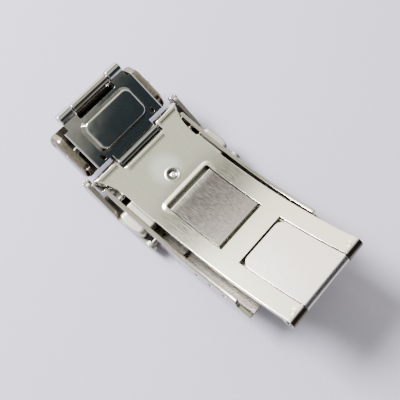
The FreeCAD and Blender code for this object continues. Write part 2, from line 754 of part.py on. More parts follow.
def button_spring(side):
    """Small coil spring between the post and a slide's shoulder."""
    start = SPRING_POST / 2 + SPRING_WIRE_RADIUS + SPRING_GAP
    length = SPRING_LENGTH - 2 * (SPRING_WIRE_RADIUS + SPRING_GAP)
    helix = Part.makeHelix(length / SPRING_TURNS, length, SPRING_RADIUS)
    wire = Part.Wire(helix.Edges)
    foot = wire.Edges[0].valueAt(wire.Edges[0].FirstParameter)
    heading = wire.Edges[0].tangentAt(wire.Edges[0].FirstParameter)
    ring = Part.Wire(Part.Circle(foot, heading, SPRING_WIRE_RADIUS).toShape())
    coil = wire.makePipeShell([ring], True, True)
    coil = Part.Solid(coil) if coil.ShapeType == "Shell" else coil
    coil.rotate(Vector(0, 0, 0), Vector(1, 0, 0), -90)
    coil.translate(Vector(spring_x, start, spring_z))
    return coil if side > 0 else mirrored(coil)


def safety_latch():
    """Flap under the extension end, with an arm outside each cover wall."""
    start, end = latch_start_x, latch_end_x
    flap = cover_arch.band(latch_face_arc, COVER_RADIUS, start, end, -arm_high, arm_high)
    tab_half = LATCH_TAB_WIDTH / 2
    tab = cover_arch.band(
        latch_face_arc, COVER_RADIUS, start - LATCH_TAB_LENGTH, start + 1, -tab_half, tab_half,
    )
    arm = latch_arm()
    body = joined([flap, tab, arm, mirrored(arm)])
    body = body.cut(outside_the_edges()).cut(under_the_arms())
    holes = [rod(LATCH_PIVOT_X, latch_pivot_z, LATCH_PIVOT_RADIUS + PIN_CLEARANCE, -arm_high, arm_high)]
    holes.append(rod(peg_x, LATCH_TIP_Z, PEG_RADIUS * 0.6, -arm_high, arm_high))
    return body.cut(holes)


def outside_the_edges():
    """What is cut off along the flap's long outer edges to round them."""
    inner = arm_high - LATCH_EDGE
    near = COVER_RADIUS - LATCH_EDGE
    bulge = LATCH_EDGE * 0.93 / math.sqrt(2)

    def spot(y, radius):
        return Vector(cover_arch.centre_x, y, cover_arch.centre_z - radius)

    bow = Part.Arc(
        spot(inner, COVER_RADIUS), spot(inner + bulge, near + bulge), spot(arm_high, near),
    ).toShape()
    outside = Part.makePolygon([
        spot(arm_high, near), spot(arm_high + 1, near), spot(arm_high + 1, COVER_RADIUS + 1),
        spot(inner, COVER_RADIUS + 1), spot(inner, COVER_RADIUS),
    ])
    corner = Part.Face(Part.Wire([bow] + outside.Edges))
    centre = Vector(cover_arch.centre_x, 0, cover_arch.centre_z)
    corner.rotate(centre, Vector(0, 1, 0), 20)
    return both_sides(corner.revolve(centre, Vector(0, 1, 0), -40))


def under_the_arms():
    """What is cut off below both arms, so that their lower edges rise to the tips."""
    deep = -2 * COVER_DEPTH
    tip_z = cover_arch.height(COVER_RADIUS, latch_start_x) + ARM_TIP_RISE
    foot_z = cover_arch.height(COVER_RADIUS, ARM_RISE_X)
    slope = (tip_z - foot_z) / (latch_start_x - ARM_RISE_X)
    wedge = side_slab([
        (ARM_RISE_X, deep, 0),
        (ARM_RISE_X, foot_z, 0),
        (latch_start_x - 1, tip_z - slope, 0),
        (latch_start_x - 1, deep, 0),
    ], cover_half, arm_high + 1)
    return both_sides(wedge)


def latch_arm():
    """Arm: high at the snap peg, low under the button, round at the pivot."""
    under = button_low_z - SLIDE_CLEARANCE - 0.12
    tip_top = LATCH_TIP_Z + PEG_RADIUS * 0.55
    shoulder_x = button_low_x - 1.2
    low = cover_arch.height(COVER_RADIUS, COVER_LOW_X) - 0.5
    corners = [
        (latch_start_x, tip_top, PEG_RADIUS * 0.6),
        (latch_start_x + 2 * PEG_RADIUS, tip_top, PEG_RADIUS),
        (shoulder_x, under + 1.3, 0.6),
        (button_low_x - 0.3, under, 0.4),
        (LATCH_PIVOT_X, under, 0),
        (LATCH_PIVOT_X, low, 0),
        (latch_start_x, low, 0),
    ]
    plate = side_slab(corners, arm_low, arm_high)
    inside = cover_arch.band(
        COVER_RADIUS - 2 * COVER_DEPTH, COVER_RADIUS, latch_start_x, latch_end_x, arm_low, arm_high,
    )
    plate = plate.common(inside)
    ear = rod(LATCH_PIVOT_X, latch_pivot_z, LATCH_EAR_RADIUS, arm_low, arm_high)
    neck = side_slab([
        (latch_end_x - 0.5, under, 0),
        (LATCH_PIVOT_X, under, 0),
        (LATCH_PIVOT_X, latch_pivot_z - LATCH_EAR_RADIUS, 0),
        (latch_end_x - 0.5, latch_pivot_z - 1.6 * LATCH_EAR_RADIUS, 0),
    ], arm_low, arm_high)
    return joined([plate, ear, neck])


def latch_snap_pegs():
    """Two pegs in the arm tips that click behind the outer blade's wings."""
    inner_end = wing_half + 0.25
    head = rod(peg_x, LATCH_TIP_Z, PEG_RADIUS, inner_end, arm_low)
    head = head.makeFillet(0.15, [e for e in head.Edges if e.CenterOfMass.y < inner_end + 0.01])
    shank = rod(peg_x, LATCH_TIP_Z, PEG_RADIUS * 0.6, arm_low, arm_high)
    cap = rod(peg_x, LATCH_TIP_Z, PEG_RADIUS * 0.85, arm_high, arm_high + 0.2)
    cap = cap.makeFillet(0.12, [e for e in cap.Edges if e.CenterOfMass.y > arm_high + 0.19])
    return both_sides(joined([head, shank, cap]))


def latch_pivot_pins():
    """Two stubs, fixed in the cover walls, on which the latch turns."""
    pin = rod(LATCH_PIVOT_X, latch_pivot_z, LATCH_PIVOT_RADIUS, bay_half, arm_high + 0.1)
    pin = pin.makeChamfer(0.08, [e for e in pin.Edges if e.CenterOfMass.y > arm_high])
    return both_sides(pin)


def extension_place(solid):
    """Turn a piece from its own level frame to its tilted place on the outer blade."""
    solid = solid.copy()
    solid.rotate(Vector(0, 0, 0), Y_AXIS, EXTENSION_TILT)
    solid.translate(Vector(hinge_x, 0, hinge_z))
    return solid


def extension_spot(u, v):
    """Side-view place of a point u along the extension and v above its axis."""
    tilt = math.radians(EXTENSION_TILT)
    x = hinge_x - u * math.cos(tilt) + v * math.sin(tilt)
    return x, hinge_z + u * math.sin(tilt) + v * math.cos(tilt)


def extension_plate():
    """Embossed plate with side flanges, a tongue in the notch and two swing ears."""
    top = PLATE_TOP
    low = top - PLATE_THICKNESS
    tongue_half = notch_half - 4.5 * KNUCKLE_GAP
    plate = plan_slab(plate_outline(), low, top)
    flange_low = top - FLANGE_DEPTH
    flange_corners = [
        (-PLATE_START, top, 0.0),
        (-PLATE_START, flange_low, 0.7),
        (-PLATE_EARS_START, flange_low, 0.8),
        (-PLATE_EARS_START, top, 0.0),
    ]
    flange = side_slab(flange_corners, plate_half - FLANGE_THICKNESS, plate_half)
    tongue = block((-BOSS_START, -tongue_half, low), (-0.2, tongue_half, top - 0.25))
    knuckle = rod(0, 0, KNUCKLE_RADIUS - 0.08, -tongue_half, tongue_half)
    ears = rounded_knuckle(-SWING_AXIS_U, SWING_AXIS_V, EAR_KNUCKLE_RADIUS, link_half + EAR_KNUCKLE_GAP, ear_half)
    boss = boss_block(BOSS_WIDTH, BOSS_LENGTH, BOSS_CORNER, top - 0.1, top + BOSS_HEIGHT)
    body = joined([plate, flange, mirrored(flange), tongue, knuckle, ears, mirrored(ears), boss])
    body = soften_plate(body)
    wall = PLATE_THICKNESS
    hollow = boss_block(
        BOSS_WIDTH - 2 * wall, BOSS_LENGTH - 2 * wall, BOSS_CORNER - wall / 2,
        low - 0.5, top + BOSS_HEIGHT - wall,
    )
    notch = side_slab([
        (-END_PIN_U - END_PIN_RADIUS - 0.35, flange_low - 1, 0),
        (-END_PIN_U + END_PIN_RADIUS + 0.15, flange_low - 1, 0),
        (-END_PIN_U + END_PIN_RADIUS + 0.15, low, 0.4),
        (-END_PIN_U - END_PIN_RADIUS - 0.35, low, 0.4),
    ], -plate_half - 1, plate_half + 1)
    holes = [
        rod(0, 0, HINGE_PIN_RADIUS + PIN_CLEARANCE, -tongue_half, tongue_half),
        rod(-SWING_AXIS_U, SWING_AXIS_V, SWING_PIN_RADIUS, -ear_half, ear_half),
        corner_holes(low - 1, top + 1),
    ]
    return extension_place(body.cut([hollow, notch] + holes))


def plate_outline():
    """Plan of the extension plate, from its hinge edge round both flanges and ears."""
    slot = BOSS_START + BOSS_LENGTH + SLOT_MARGIN
    gap = link_half + EAR_KNUCKLE_GAP
    half = [
        (-PLATE_START, plate_half, 0.35),
        (-PLATE_EARS_START, plate_half, 0.2),
        (-PLATE_EARS_START, ear_half, 0.1),
        (-SWING_AXIS_U, ear_half, 0),
        (-SWING_AXIS_U, gap, 0),
        (-slot, gap, 0.3),
    ]
    other = [(x, -y, r) for x, y, r in reversed(half)]
    return half + other


def corner_holes(low, high):
    """Relief holes beside the raised panel, where the flanges' bends run out."""
    reach = CORNER_HOLE_RADIUS
    u, y = CORNER_HOLE_U, CORNER_HOLE_Y
    hole = plan_slab(rectangle(-u - 0.5, y - reach, -u + 0.5, y + reach, reach * 0.9), low, high)
    return both_sides(hole)


def boss_block(width, length, corner, low, high):
    """Raised panel with sloping sides, in the plate's level frame."""
    middle = -(BOSS_START + BOSS_LENGTH / 2)
    slope = BOSS_SLOPE

    def ring(shrink, z):
        half_length = length / 2 - shrink
        half_width = width / 2 - shrink
        corners = rectangle(
            middle - half_length, -half_width, middle + half_length, half_width,
            max(corner - shrink * 0.5, 0.2),
        )
        return rounded_loop(corners, lambda p: Vector(p.x, p.y, z))

    return Part.makeLoft([ring(0, low), ring(slope, high)], True, True)


def soften_plate(body):
    """Round the flange bends and the edges of the raised panel."""
    top = PLATE_TOP

    def bend(point, direction, edge):
        outer = abs(abs(point.y) - plate_half) < 0.01
        return outer and abs(point.z - top) < 0.01 and abs(direction.x) > 0.9

    def panel(point, direction, edge):
        return abs(point.z - top - BOSS_HEIGHT) < 0.01

    body = body.makeFillet(0.35, edges_along(body, bend))
    return body.makeFillet(BOSS_EDGE, edges_along(body, panel))


def rounded_knuckle(x, z, radius, y_low, y_high):
    """Knuckle with rounded ends."""
    knuckle = rod(x, z, radius, y_low, y_high)

    def end(point, direction, edge):
        return abs(point.y - y_low) < 0.01 or abs(point.y - y_high) < 0.01

    return knuckle.makeFillet(KNUCKLE_END_ROUND, edges_along(knuckle, end))


def swing_link():
    """Cranked link between the extension plate's ears and the end link."""
    top = PLATE_TOP - PLATE_THICKNESS - LAYER_GAP
    low = top - LINK_THICKNESS
    axis_x, axis_z = -SWING_AXIS_U, SWING_AXIS_V
    radius = SWING_KNUCKLE_RADIUS
    web = side_slab([
        (-END_PIN_U, END_PIN_V + 0.7 * radius, 0),
        (-END_PIN_U - 1.3, top, 0.4),
        (axis_x + 1.75, top, 0.3),
        (axis_x + 0.55, axis_z + 0.3, 0),
        (axis_x, axis_z, 0),
        (axis_x + 0.1, axis_z - radius + 0.02, 0),
        (axis_x + 1.3, low, 0.4),
        (-END_PIN_U - 1.6, low, 0.4),
        (-END_PIN_U, END_PIN_V - 0.7 * radius, 0),
    ], -link_half, link_half)
    body = joined([
        web,
        rounded_knuckle(axis_x, axis_z, radius, -link_half, link_half),
        rod(-END_PIN_U, END_PIN_V, radius, -link_half, link_half),
    ])
    holes = [
        rod(axis_x, axis_z, SWING_PIN_RADIUS + PIN_CLEARANCE, -link_half, link_half),
        rod(-END_PIN_U, END_PIN_V, END_PIN_RADIUS + PIN_CLEARANCE, -link_half, link_half),
    ]
    return extension_place(body.cut(holes))


def end_link():
    """Channel that takes the bracelet's last link, hung on the swing link."""
    start, end = -END_LINK_START, -(END_LINK_START + END_LINK_LENGTH)
    corners = [
        (start, END_LINK_BOTTOM, 1.1),
        (start, END_LINK_TOP - 1.4, 1.1),
        (start - 1.7, END_LINK_TOP, 1.3),
        (end + 1.6, END_LINK_TOP - 0.5, 1.6),
        (end, END_LINK_TOP - 2.4, 1.1),
        (end, END_LINK_BOTTOM, 1.1),
    ]
    body = side_slab(corners, -end_half, end_half)

    def bottom_edge(point, direction, edge):
        outer = abs(abs(point.y) - end_half) < 0.01
        return outer and point.z < END_LINK_BOTTOM + 0.01 and abs(direction.x) > 0.9

    body = body.makeFillet(END_LINK_EDGE, edges_along(body, bottom_edge))
    bay = block(
        (end - 1, -end_bay_half, END_LINK_BOTTOM + END_LINK_FLOOR),
        (start + 1, end_bay_half, END_LINK_TOP + 1),
    )
    bar_x, bar_z = end_bar_spot()
    holes = [
        rod(-END_PIN_U, END_PIN_V, END_PIN_RADIUS, -end_half, end_half),
        rod(bar_x, bar_z, END_BAR_RADIUS, -end_half, end_half),
    ]
    return extension_place(body.cut([bay] + holes))


def end_bar_spot():
    """Middle of the end link's spring-bar holes, in the extension's level frame."""
    x = -(END_LINK_START + END_LINK_LENGTH - END_BAR_INSET)
    return x, END_LINK_BOTTOM + END_LINK_FLOOR + 1.1


def level_pin(u, v, radius, half_length):
    """Pin of the extension, in its tilted place."""
    return extension_place(hinge_pin(-u, v, radius, half_length))


def all_parts():
    """Every piece of the clasp under its name."""
    wide_pin = (OUTER_WIDTH - 0.3) / 2
    parts = {
        "cover_shell": cover_shell(),
        "latch_housing": housing_frame(),
        "housing_lid": housing_lid(),
        "cover_hinge_pin": hinge_pin(pivot_x, pivot_z, HINGE_PIN_RADIUS, cover_half),
        "latch_pivot_pins": latch_pivot_pins(),
        "safety_latch": safety_latch(),
        "latch_snap_pegs": latch_snap_pegs(),
        "inner_blade": inner_blade(),
        "outer_blade": outer_blade(),
        "fold_hinge_pin": hinge_pin(fold_x, fold_z, HINGE_PIN_RADIUS, wide_pin),
        "hinge_lock_studs": hinge_lock_studs(),
        "catch_stud": catch_stud(),
        "extension_hinge_pin": hinge_pin(hinge_x, hinge_z, HINGE_PIN_RADIUS, wing_half - 0.25),
        "extension_plate": extension_plate(),
        "swing_link_pin": level_pin(SWING_AXIS_U, SWING_AXIS_V, SWING_PIN_RADIUS, ear_half - 0.1),
        "swing_link": swing_link(),
        "end_link": end_link(),
        "end_link_pin": level_pin(END_PIN_U, END_PIN_V, END_PIN_RADIUS, end_half),
    }
    for side, name in ((-1, "left"), (1, "right")):
        parts["button_" + name] = button(side)
        parts["slide_" + name] = button_slide(side)
        parts["spring_" + name] = button_spring(side)
    return parts


def main():
    parts = all_parts()
    whole = Part.makeCompound(list(parts.values())).optimalBoundingBox(False, False)
    shift = Vector(-(whole.XMin + whole.XMax) / 2, 0, -whole.ZMin)
    os.makedirs("parts", exist_ok=True)
    for name, shape in parts.items():
        shape.translate(shift)
        shape.exportStep("parts/" + name + ".step")
        state = "valid" if shape.isValid() else "NOT VALID"
        print(name, len(shape.Solids), "solids", round(shape.Volume, 2), "mm3", state)
    print("box", round(whole.XLength, 2), round(whole.YLength, 2), round(whole.ZLength, 2))
    spots = {
        "shift": (shift.x, shift.z),
        "cover hinge": (pivot_x + shift.x, pivot_z + shift.z),
        "fold hinge": (fold_x + shift.x, fold_z + shift.z),
        "extension hinge": (hinge_x + shift.x, hinge_z + shift.z),
        "latch pivot": (LATCH_PIVOT_X + shift.x, latch_pivot_z + shift.z),
    }
    named = {"swing hinge": (SWING_AXIS_U, SWING_AXIS_V), "end pin": (END_PIN_U, END_PIN_V)}
    named["end bar"] = (-end_bar_spot()[0], end_bar_spot()[1])
    for name, (u, v) in named.items():
        x, z = extension_spot(u, v)
        spots[name] = (x + shift.x, z + shift.z)
    for i, (x, z) in enumerate(bar_hole_spots()):
        spots["bar hole " + str(i + 1)] = (x + shift.x, z + shift.z)
    for name, (x, z) in spots.items():
        print(name, round(x, 4), round(z, 4))


main()
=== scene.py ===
"""Looks of a fold-over deployant clasp in stainless steel, lying closed on its outer face.

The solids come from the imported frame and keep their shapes. Each sub-assembly is a class
that dresses its own solids and adds the fine formed details that the solids leave out.
Lengths in the dataclasses are in millimetres unless a name says otherwise.
"""

import json
import logging
import math
from dataclasses import dataclass, field
from enum import Enum

import bmesh
import bpy
import numpy as np
from mathutils import Matrix, Vector

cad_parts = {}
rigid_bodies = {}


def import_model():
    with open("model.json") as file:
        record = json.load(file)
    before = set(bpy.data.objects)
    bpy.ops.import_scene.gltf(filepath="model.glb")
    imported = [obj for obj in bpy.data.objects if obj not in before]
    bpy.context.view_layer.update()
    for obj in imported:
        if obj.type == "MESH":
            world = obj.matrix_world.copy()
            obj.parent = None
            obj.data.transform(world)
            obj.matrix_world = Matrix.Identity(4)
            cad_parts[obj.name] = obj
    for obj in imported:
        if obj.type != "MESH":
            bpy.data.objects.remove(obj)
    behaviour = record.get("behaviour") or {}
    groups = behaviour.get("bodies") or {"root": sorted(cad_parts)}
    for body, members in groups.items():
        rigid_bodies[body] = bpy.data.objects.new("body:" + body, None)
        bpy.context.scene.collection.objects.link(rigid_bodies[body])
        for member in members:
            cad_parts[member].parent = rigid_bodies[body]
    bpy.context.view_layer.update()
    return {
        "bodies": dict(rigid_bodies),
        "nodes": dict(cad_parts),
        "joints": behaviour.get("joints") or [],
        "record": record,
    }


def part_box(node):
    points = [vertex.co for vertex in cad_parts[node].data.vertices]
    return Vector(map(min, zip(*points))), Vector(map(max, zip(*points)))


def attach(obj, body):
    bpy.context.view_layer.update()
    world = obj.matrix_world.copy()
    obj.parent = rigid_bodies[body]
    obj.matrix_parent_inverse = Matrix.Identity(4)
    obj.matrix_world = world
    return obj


LOG = logging.getLogger("clasp")
MM = 0.001

# Middle of the catch stud along x, from the lowest place of the blades' arc
STUD_X = -0.85


# Colours and node helpers

def linear(hex_colour: str) -> tuple[float, float, float, float]:
    """Turn an sRGB hex colour into the linear values that the shaders take.

    Args:
        hex_colour: Six hex digits, with or without a leading hash.

    Returns:
        Linear red, green, blue and an alpha of 1.
    """
    text = hex_colour.lstrip("#")
    parts = [int(text[i:i + 2], 16) / 255 for i in (0, 2, 4)]
    values = [p / 12.92 if p <= 0.04045 else ((p + 0.055) / 1.055) ** 2.4 for p in parts]
    return values[0], values[1], values[2], 1.0


def add_node(tree: bpy.types.NodeTree, kind: str, settings: dict | None = None,
             links: dict | None = None) -> bpy.types.Node:
    """Add one node with its settings and incoming links.

    Args:
        tree: Node tree that takes the node.
        kind: Blender's type name of the node.
        settings: Attribute names or input sockets (by name or number) to their values.
        links: Input sockets (by name or number) to the output sockets that feed them.

    Returns:
        The new node.
    """
    node = tree.nodes.new(kind)
    for key, value in (settings or {}).items():
        if isinstance(key, str) and hasattr(node, key):
            setattr(node, key, value)
        else:
            node.inputs[key].default_value = value
    for key, source in (links or {}).items():
        tree.links.new(source, node.inputs[key])
    return node


def smooth_step(share: np.ndarray) -> np.ndarray:
    """Ease from 0 to 1: three times the share squared less twice its cube."""
    return share * share * (3 - 2 * share)


def arc_x() -> float:
    """Where the blades' arc is lowest, in millimetres along x, as the frame's catch stud gives it."""
    low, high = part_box("catch_stud")
    return (low.x + high.x) / 2 / MM - STUD_X


# Finishes

class Grain(Enum):
    """Direction in which a surface was brushed, as stretch factors of its streaks."""

    ALONG = (0.03, 1.0, 1.0)
    ACROSS = (1.0, 0.03, 1.0)
    NONE = (0.6, 0.6, 0.6)


@dataclass(frozen=True)
class SteelFinish:
    """Stainless steel with its streaks, tone changes and softened edges, painted shade in its corners and,
    where given, a painted band of shade and a round painted spot.

    Attributes:
        name: Plain name of the finish.
        light: Hex colour of the bright streaks.
        dark: Hex colour of the dull streaks.
        corner_shade_hex: Hex colour of the painted shade in tight corners.
        roughness: Middle roughness.
        roughness_swing: How far the streaks move the roughness.
        grain: Direction of the brushing.
        pitch_mm: Width of one streak.
        depth_mm: Height of the streaks in the bump.
        wave_mm: Size of the slow dents of the pressed sheet.
        wave_depth_mm: Height of those dents.
        edge_mm: Radius that the shader gives to sharp edges.
        edge_samples: Rays that the shader spends on each softened edge.
        edge_shine: How much smoother worn edges are.
        corner_shade_mm: Reach of the painted shade in corners.
        corner_shade_level: Share of the painted shade's colour in a closed corner.
        shade_band: Start, end and blur of a band of painted shade along x, from the arc's lowest place, or
            None.
        shade_band_hex: Hex colour of that painted shade.
        painted_spot: x and y of the middle of a round spot of painted light, from the arc's lowest place,
        its full radius and its end, or None; pale, it is a painted highlight, dark, it is painted shade.
        painted_spot_hex: Hex colour of that spot.
        painted_spot_level: Share of that colour where the spot is full.
    """

    name: str
    light: str
    dark: str
    corner_shade_hex: str = "2B2622"
    roughness: float = 0.3
    roughness_swing: float = 0.08
    grain: Grain = Grain.ALONG
    pitch_mm: float = 0.16
    depth_mm: float = 0.0012
    wave_mm: float = 4.0
    wave_depth_mm: float = 0.0
    edge_mm: float = 0.1
    edge_samples: int = 8
    edge_shine: float = 0.12
    corner_shade_mm: float = 0.5
    corner_shade_level: float = 0.6
    shade_band: tuple[float, float, float] | None = None
    shade_band_hex: str = "8F8A83"
    painted_spot: tuple[float, float, float, float] | None = None
    painted_spot_hex: str = "FFFFFF"
    painted_spot_level: float = 0.95

    def material(self) -> bpy.types.Material:
        """Build the node material of this finish.

        Returns:
            The material, shared by every piece of this finish.
        """
        found = bpy.data.materials.get(self.name)
        if found is not None:
            return found
        result = bpy.data.materials.new(self.name)
        result.use_nodes = True
        tree = result.node_tree
        tree.nodes.clear()
        place = add_node(tree, "ShaderNodeTexCoord").outputs["Object"]
        stretch = [s / (self.pitch_mm * MM) for s in self.grain.value]
        along = add_node(tree, "ShaderNodeMapping", {"Scale": stretch}, {"Vector": place})
        streaks = add_node(tree, "ShaderNodeTexNoise", {"Scale": 1.0, "Detail": 3.0, "Roughness": 0.6},
                           {"Vector": along.outputs["Vector"]}).outputs["Fac"]
        patches = add_node(tree, "ShaderNodeTexNoise", {"Scale": 1.0 / (self.wave_mm * MM), "Detail": 2.0},
                           {"Vector": place}).outputs["Fac"]
        bevel = add_node(tree, "ShaderNodeBevel",
                         {"samples": self.edge_samples, "Radius": self.edge_mm * MM}).outputs["Normal"]
        shader = add_node(tree, "ShaderNodeBsdfPrincipled", {"Metallic": 1.0},
                          {"Base Color": self.colour(tree, place, streaks, patches),
                           "Roughness": self.dullness(tree, streaks, bevel),
                           "Normal": self.relief(tree, streaks, patches, bevel)})
        add_node(tree, "ShaderNodeOutputMaterial", {}, {"Surface": shader.outputs["BSDF"]})
        return result

    def colour(self, tree: bpy.types.NodeTree, place: bpy.types.NodeSocket,
               streaks: bpy.types.NodeSocket, patches: bpy.types.NodeSocket) -> bpy.types.NodeSocket:
        """Mix the streaks' two tones, the finish's band of painted shade and its painted spot, and painted
        shade in corners.

        Args:
            tree: Node tree of the material.
            place: Object coordinates.
            streaks: Noise of the brushing.
            patches: Slow noise of the sheet.

        Returns:
            The base colour.
        """
        tone = add_node(tree, "ShaderNodeMapRange",
                        {"From Min": 0.32, "From Max": 0.68, "To Min": 0.0, "To Max": 0.75},
                        {"Value": streaks})
        slow = add_node(tree, "ShaderNodeMath", {"operation": "MULTIPLY_ADD", 1: 0.25},
                        {0: patches, 2: tone.outputs["Result"]})
        steel = add_node(tree, "ShaderNodeMix",
                         {"data_type": "RGBA", "clamp_factor": True,
                          6: linear(self.light), 7: linear(self.dark)},
                         {0: slow.outputs["Value"]}).outputs[2]
        if self.shade_band is not None:
            steel = self.paint_shade_band(tree, place, steel, tone.outputs["Result"])
        if self.painted_spot is not None:
            steel = self.paint_spot(tree, place, steel)
        # Painted shade: an ambient occlusion mask darkens corners, creases and recesses towards the shade
        # colour.
        corner = add_node(tree, "ShaderNodeAmbientOcclusion",
                          {"Distance": self.corner_shade_mm * MM, "only_local": False, "samples": 4})
        corner_shade_mask = add_node(tree, "ShaderNodeMapRange",
                        {"From Min": 0.15, "From Max": 0.75, "To Min": self.corner_shade_level, "To Max": 0.0},
                        {"Value": corner.outputs["AO"]})
        mixed = add_node(tree, "ShaderNodeMix", {"data_type": "RGBA", 7: linear(self.corner_shade_hex)},
                         {0: corner_shade_mask.outputs["Result"], 6: steel})
        return mixed.outputs[2]

    def dullness(self, tree: bpy.types.NodeTree, streaks: bpy.types.NodeSocket,
                 bevel: bpy.types.NodeSocket) -> bpy.types.NodeSocket:
        """Let the roughness follow the streaks and drop on worn edges.

        Args:
            tree: Node tree of the material.
            streaks: Noise of the brushing.
            bevel: Normal with softened edges.

        Returns:
            The roughness.
        """
        true = add_node(tree, "ShaderNodeNewGeometry")
        match = add_node(tree, "ShaderNodeVectorMath", {"operation": "DOT_PRODUCT"},
                         {0: bevel, 1: true.outputs["True Normal"]})
        edge = add_node(tree, "ShaderNodeMapRange",
                        {"From Min": 0.995, "From Max": 0.9, "To Min": 0.0, "To Max": self.edge_shine},
                        {"Value": match.outputs["Value"]})
        rough = add_node(tree, "ShaderNodeMapRange",
                         {"From Min": 0.25, "From Max": 0.75,
                          "To Min": self.roughness - self.roughness_swing,
                          "To Max": self.roughness + self.roughness_swing}, {"Value": streaks})
        shine = add_node(tree, "ShaderNodeMath", {"operation": "SUBTRACT", "use_clamp": True},
                         {0: rough.outputs["Result"], 1: edge.outputs["Result"]})
        return shine.outputs["Value"]

    def relief(self, tree: bpy.types.NodeTree, streaks: bpy.types.NodeSocket,
               patches: bpy.types.NodeSocket, bevel: bpy.types.NodeSocket) -> bpy.types.NodeSocket:
        """Raise the streaks and the slow dents on the softened edges.

        Args:
            tree: Node tree of the material.
            streaks: Noise of the brushing.
            patches: Slow noise of the sheet.
            bevel: Normal with softened edges.

        Returns:
            The normal.
        """
        lines = add_node(tree, "ShaderNodeBump", {"Strength": 1.0, "Distance": self.depth_mm * MM},
                         {"Height": streaks, "Normal": bevel})
        dents = add_node(tree, "ShaderNodeBump", {"Strength": 1.0, "Distance": self.wave_depth_mm * MM},
                         {"Height": patches, "Normal": lines.outputs["Normal"]})
        return dents.outputs["Normal"]

    def paint_spot(self, tree: bpy.types.NodeTree, place: bpy.types.NodeSocket,
                  steel: bpy.types.NodeSocket) -> bpy.types.NodeSocket:
        """Lay a round spot of painted light that fades outwards: a painted highlight when its colour is
        pale, painted shade when it is dark.

        Args:
            tree: Node tree of the material.
            place: Object coordinates.
            steel: Colour so far.

        Returns:
            Colour with the spot.
        """
        # Painted light: a round spot, bright for a painted highlight and dark for painted shade, fades out
        # from its middle.
        x, y, full, end = self.painted_spot
        shift = (-(arc_x() + x) * MM, -y * MM, 0)
        level = add_node(tree, "ShaderNodeMapping", {"Location": shift, "Scale": (1, 1, 0)},
                         {"Vector": place})
        reach = add_node(tree, "ShaderNodeVectorMath", {"operation": "LENGTH"}, {0: level.outputs["Vector"]})
        share = add_node(tree, "ShaderNodeMapRange",
                         {"interpolation_type": "SMOOTHSTEP", "From Min": full * MM, "From Max": end * MM,
                          "To Min": self.painted_spot_level, "To Max": 0.0}, {"Value": reach.outputs["Value"]})
        mixed = add_node(tree, "ShaderNodeMix", {"data_type": "RGBA", 7: linear(self.painted_spot_hex)},
                         {0: share.outputs["Result"], 6: steel})
        return mixed.outputs[2]

    def paint_shade_band(self, tree: bpy.types.NodeTree, place: bpy.types.NodeSocket,
                  steel: bpy.types.NodeSocket, tone: bpy.types.NodeSocket) -> bpy.types.NodeSocket:
        """Lay a band of painted shade between two places along x, with soft ends.

        Args:
            tree: Node tree of the material.
            place: Object coordinates.
            steel: Colour so far.
            tone: Brightness of the streaks, 0 to 1.

        Returns:
            Colour with the band of painted shade.
        """
        # Painted shade: a band along x is mixed towards the shade colour, a little patchy with the streaks.
        start, end, blur = self.shade_band
        start += arc_x()
        end += arc_x()
        split = add_node(tree, "ShaderNodeSeparateXYZ", {}, {0: place})
        rise = add_node(tree, "ShaderNodeMapRange",
                        {"interpolation_type": "SMOOTHSTEP", "From Min": (start - blur) * MM,
                         "From Max": start * MM}, {"Value": split.outputs["X"]})
        fall = add_node(tree, "ShaderNodeMapRange",
                        {"interpolation_type": "SMOOTHSTEP", "From Min": end * MM,
                         "From Max": (end + blur) * MM, "To Min": 1.0, "To Max": 0.0},
                        {"Value": split.outputs["X"]})
        inside = add_node(tree, "ShaderNodeMath", {"operation": "MULTIPLY"},
                          {0: rise.outputs["Result"], 1: fall.outputs["Result"]})
        share = add_node(tree, "ShaderNodeMath", {"operation": "MULTIPLY_ADD", 1: 0.16, 2: -0.04},
                         {0: tone})
        final = add_node(tree, "ShaderNodeMath", {"operation": "ADD", "use_clamp": True},
                         {0: inside.outputs["Value"], 1: share.outputs["Value"]})
        gate = add_node(tree, "ShaderNodeMath", {"operation": "MULTIPLY", "use_clamp": True},
                        {0: final.outputs["Value"], 1: inside.outputs["Value"]})
        mixed = add_node(tree, "ShaderNodeMix", {"data_type": "RGBA", 7: linear(self.shade_band_hex)},
                         {0: gate.outputs["Value"], 6: steel})
        return mixed.outputs[2]


# Satin steel of the blade, brushed lengthwise: pale, soft reflections drawn out across the
# streaks, a painted highlight beside the stud on its lit side and brownish painted shade at the fold's turn.
BLADE_STEEL = SteelFinish("satin steel brushed along the band", "E7E5D6", "CFCDBA", roughness=0.2,
                          roughness_swing=0.06, depth_mm=0.0016, corner_shade_hex="1C1814", corner_shade_mm=1.3,
                          corner_shade_level=0.9, shade_band=(28.794, 44.5, 1.0), shade_band_hex="6E655B",
                          painted_spot=(-2.406, -0.1, 1.3, 3.6))
# The pressed rim of the stud's hole is the blade's steel, matt from the tool, painted darker than the blade
# to tone down its reflection, with a ring of painted shade along its inner foot.
RIM_STEEL = SteelFinish("matt pressed rim", "CFCDC0", "B9B7A6", roughness=0.34, roughness_swing=0.05,
                        grain=Grain.NONE, pitch_mm=0.2, depth_mm=0.0005, edge_mm=0.05,
                        painted_spot=(STUD_X, 0.0, 1.0, 1.22), painted_spot_hex="6A6A66")
# The inner strap is the same sheet, with painted shade where it shows in the window below the blade. Its
# streaks would be too fine to show, so they are drawn coarser.
STRAP_STEEL = SteelFinish("satin steel strap", "DFDBD4", "C9C5BD", roughness=0.26, roughness_swing=0.08,
                          pitch_mm=0.13, depth_mm=0.0014, shade_band=(4.294, 12.794, 1.7), shade_band_hex="89837E",
                          corner_shade_mm=1.2, corner_shade_level=0.8)
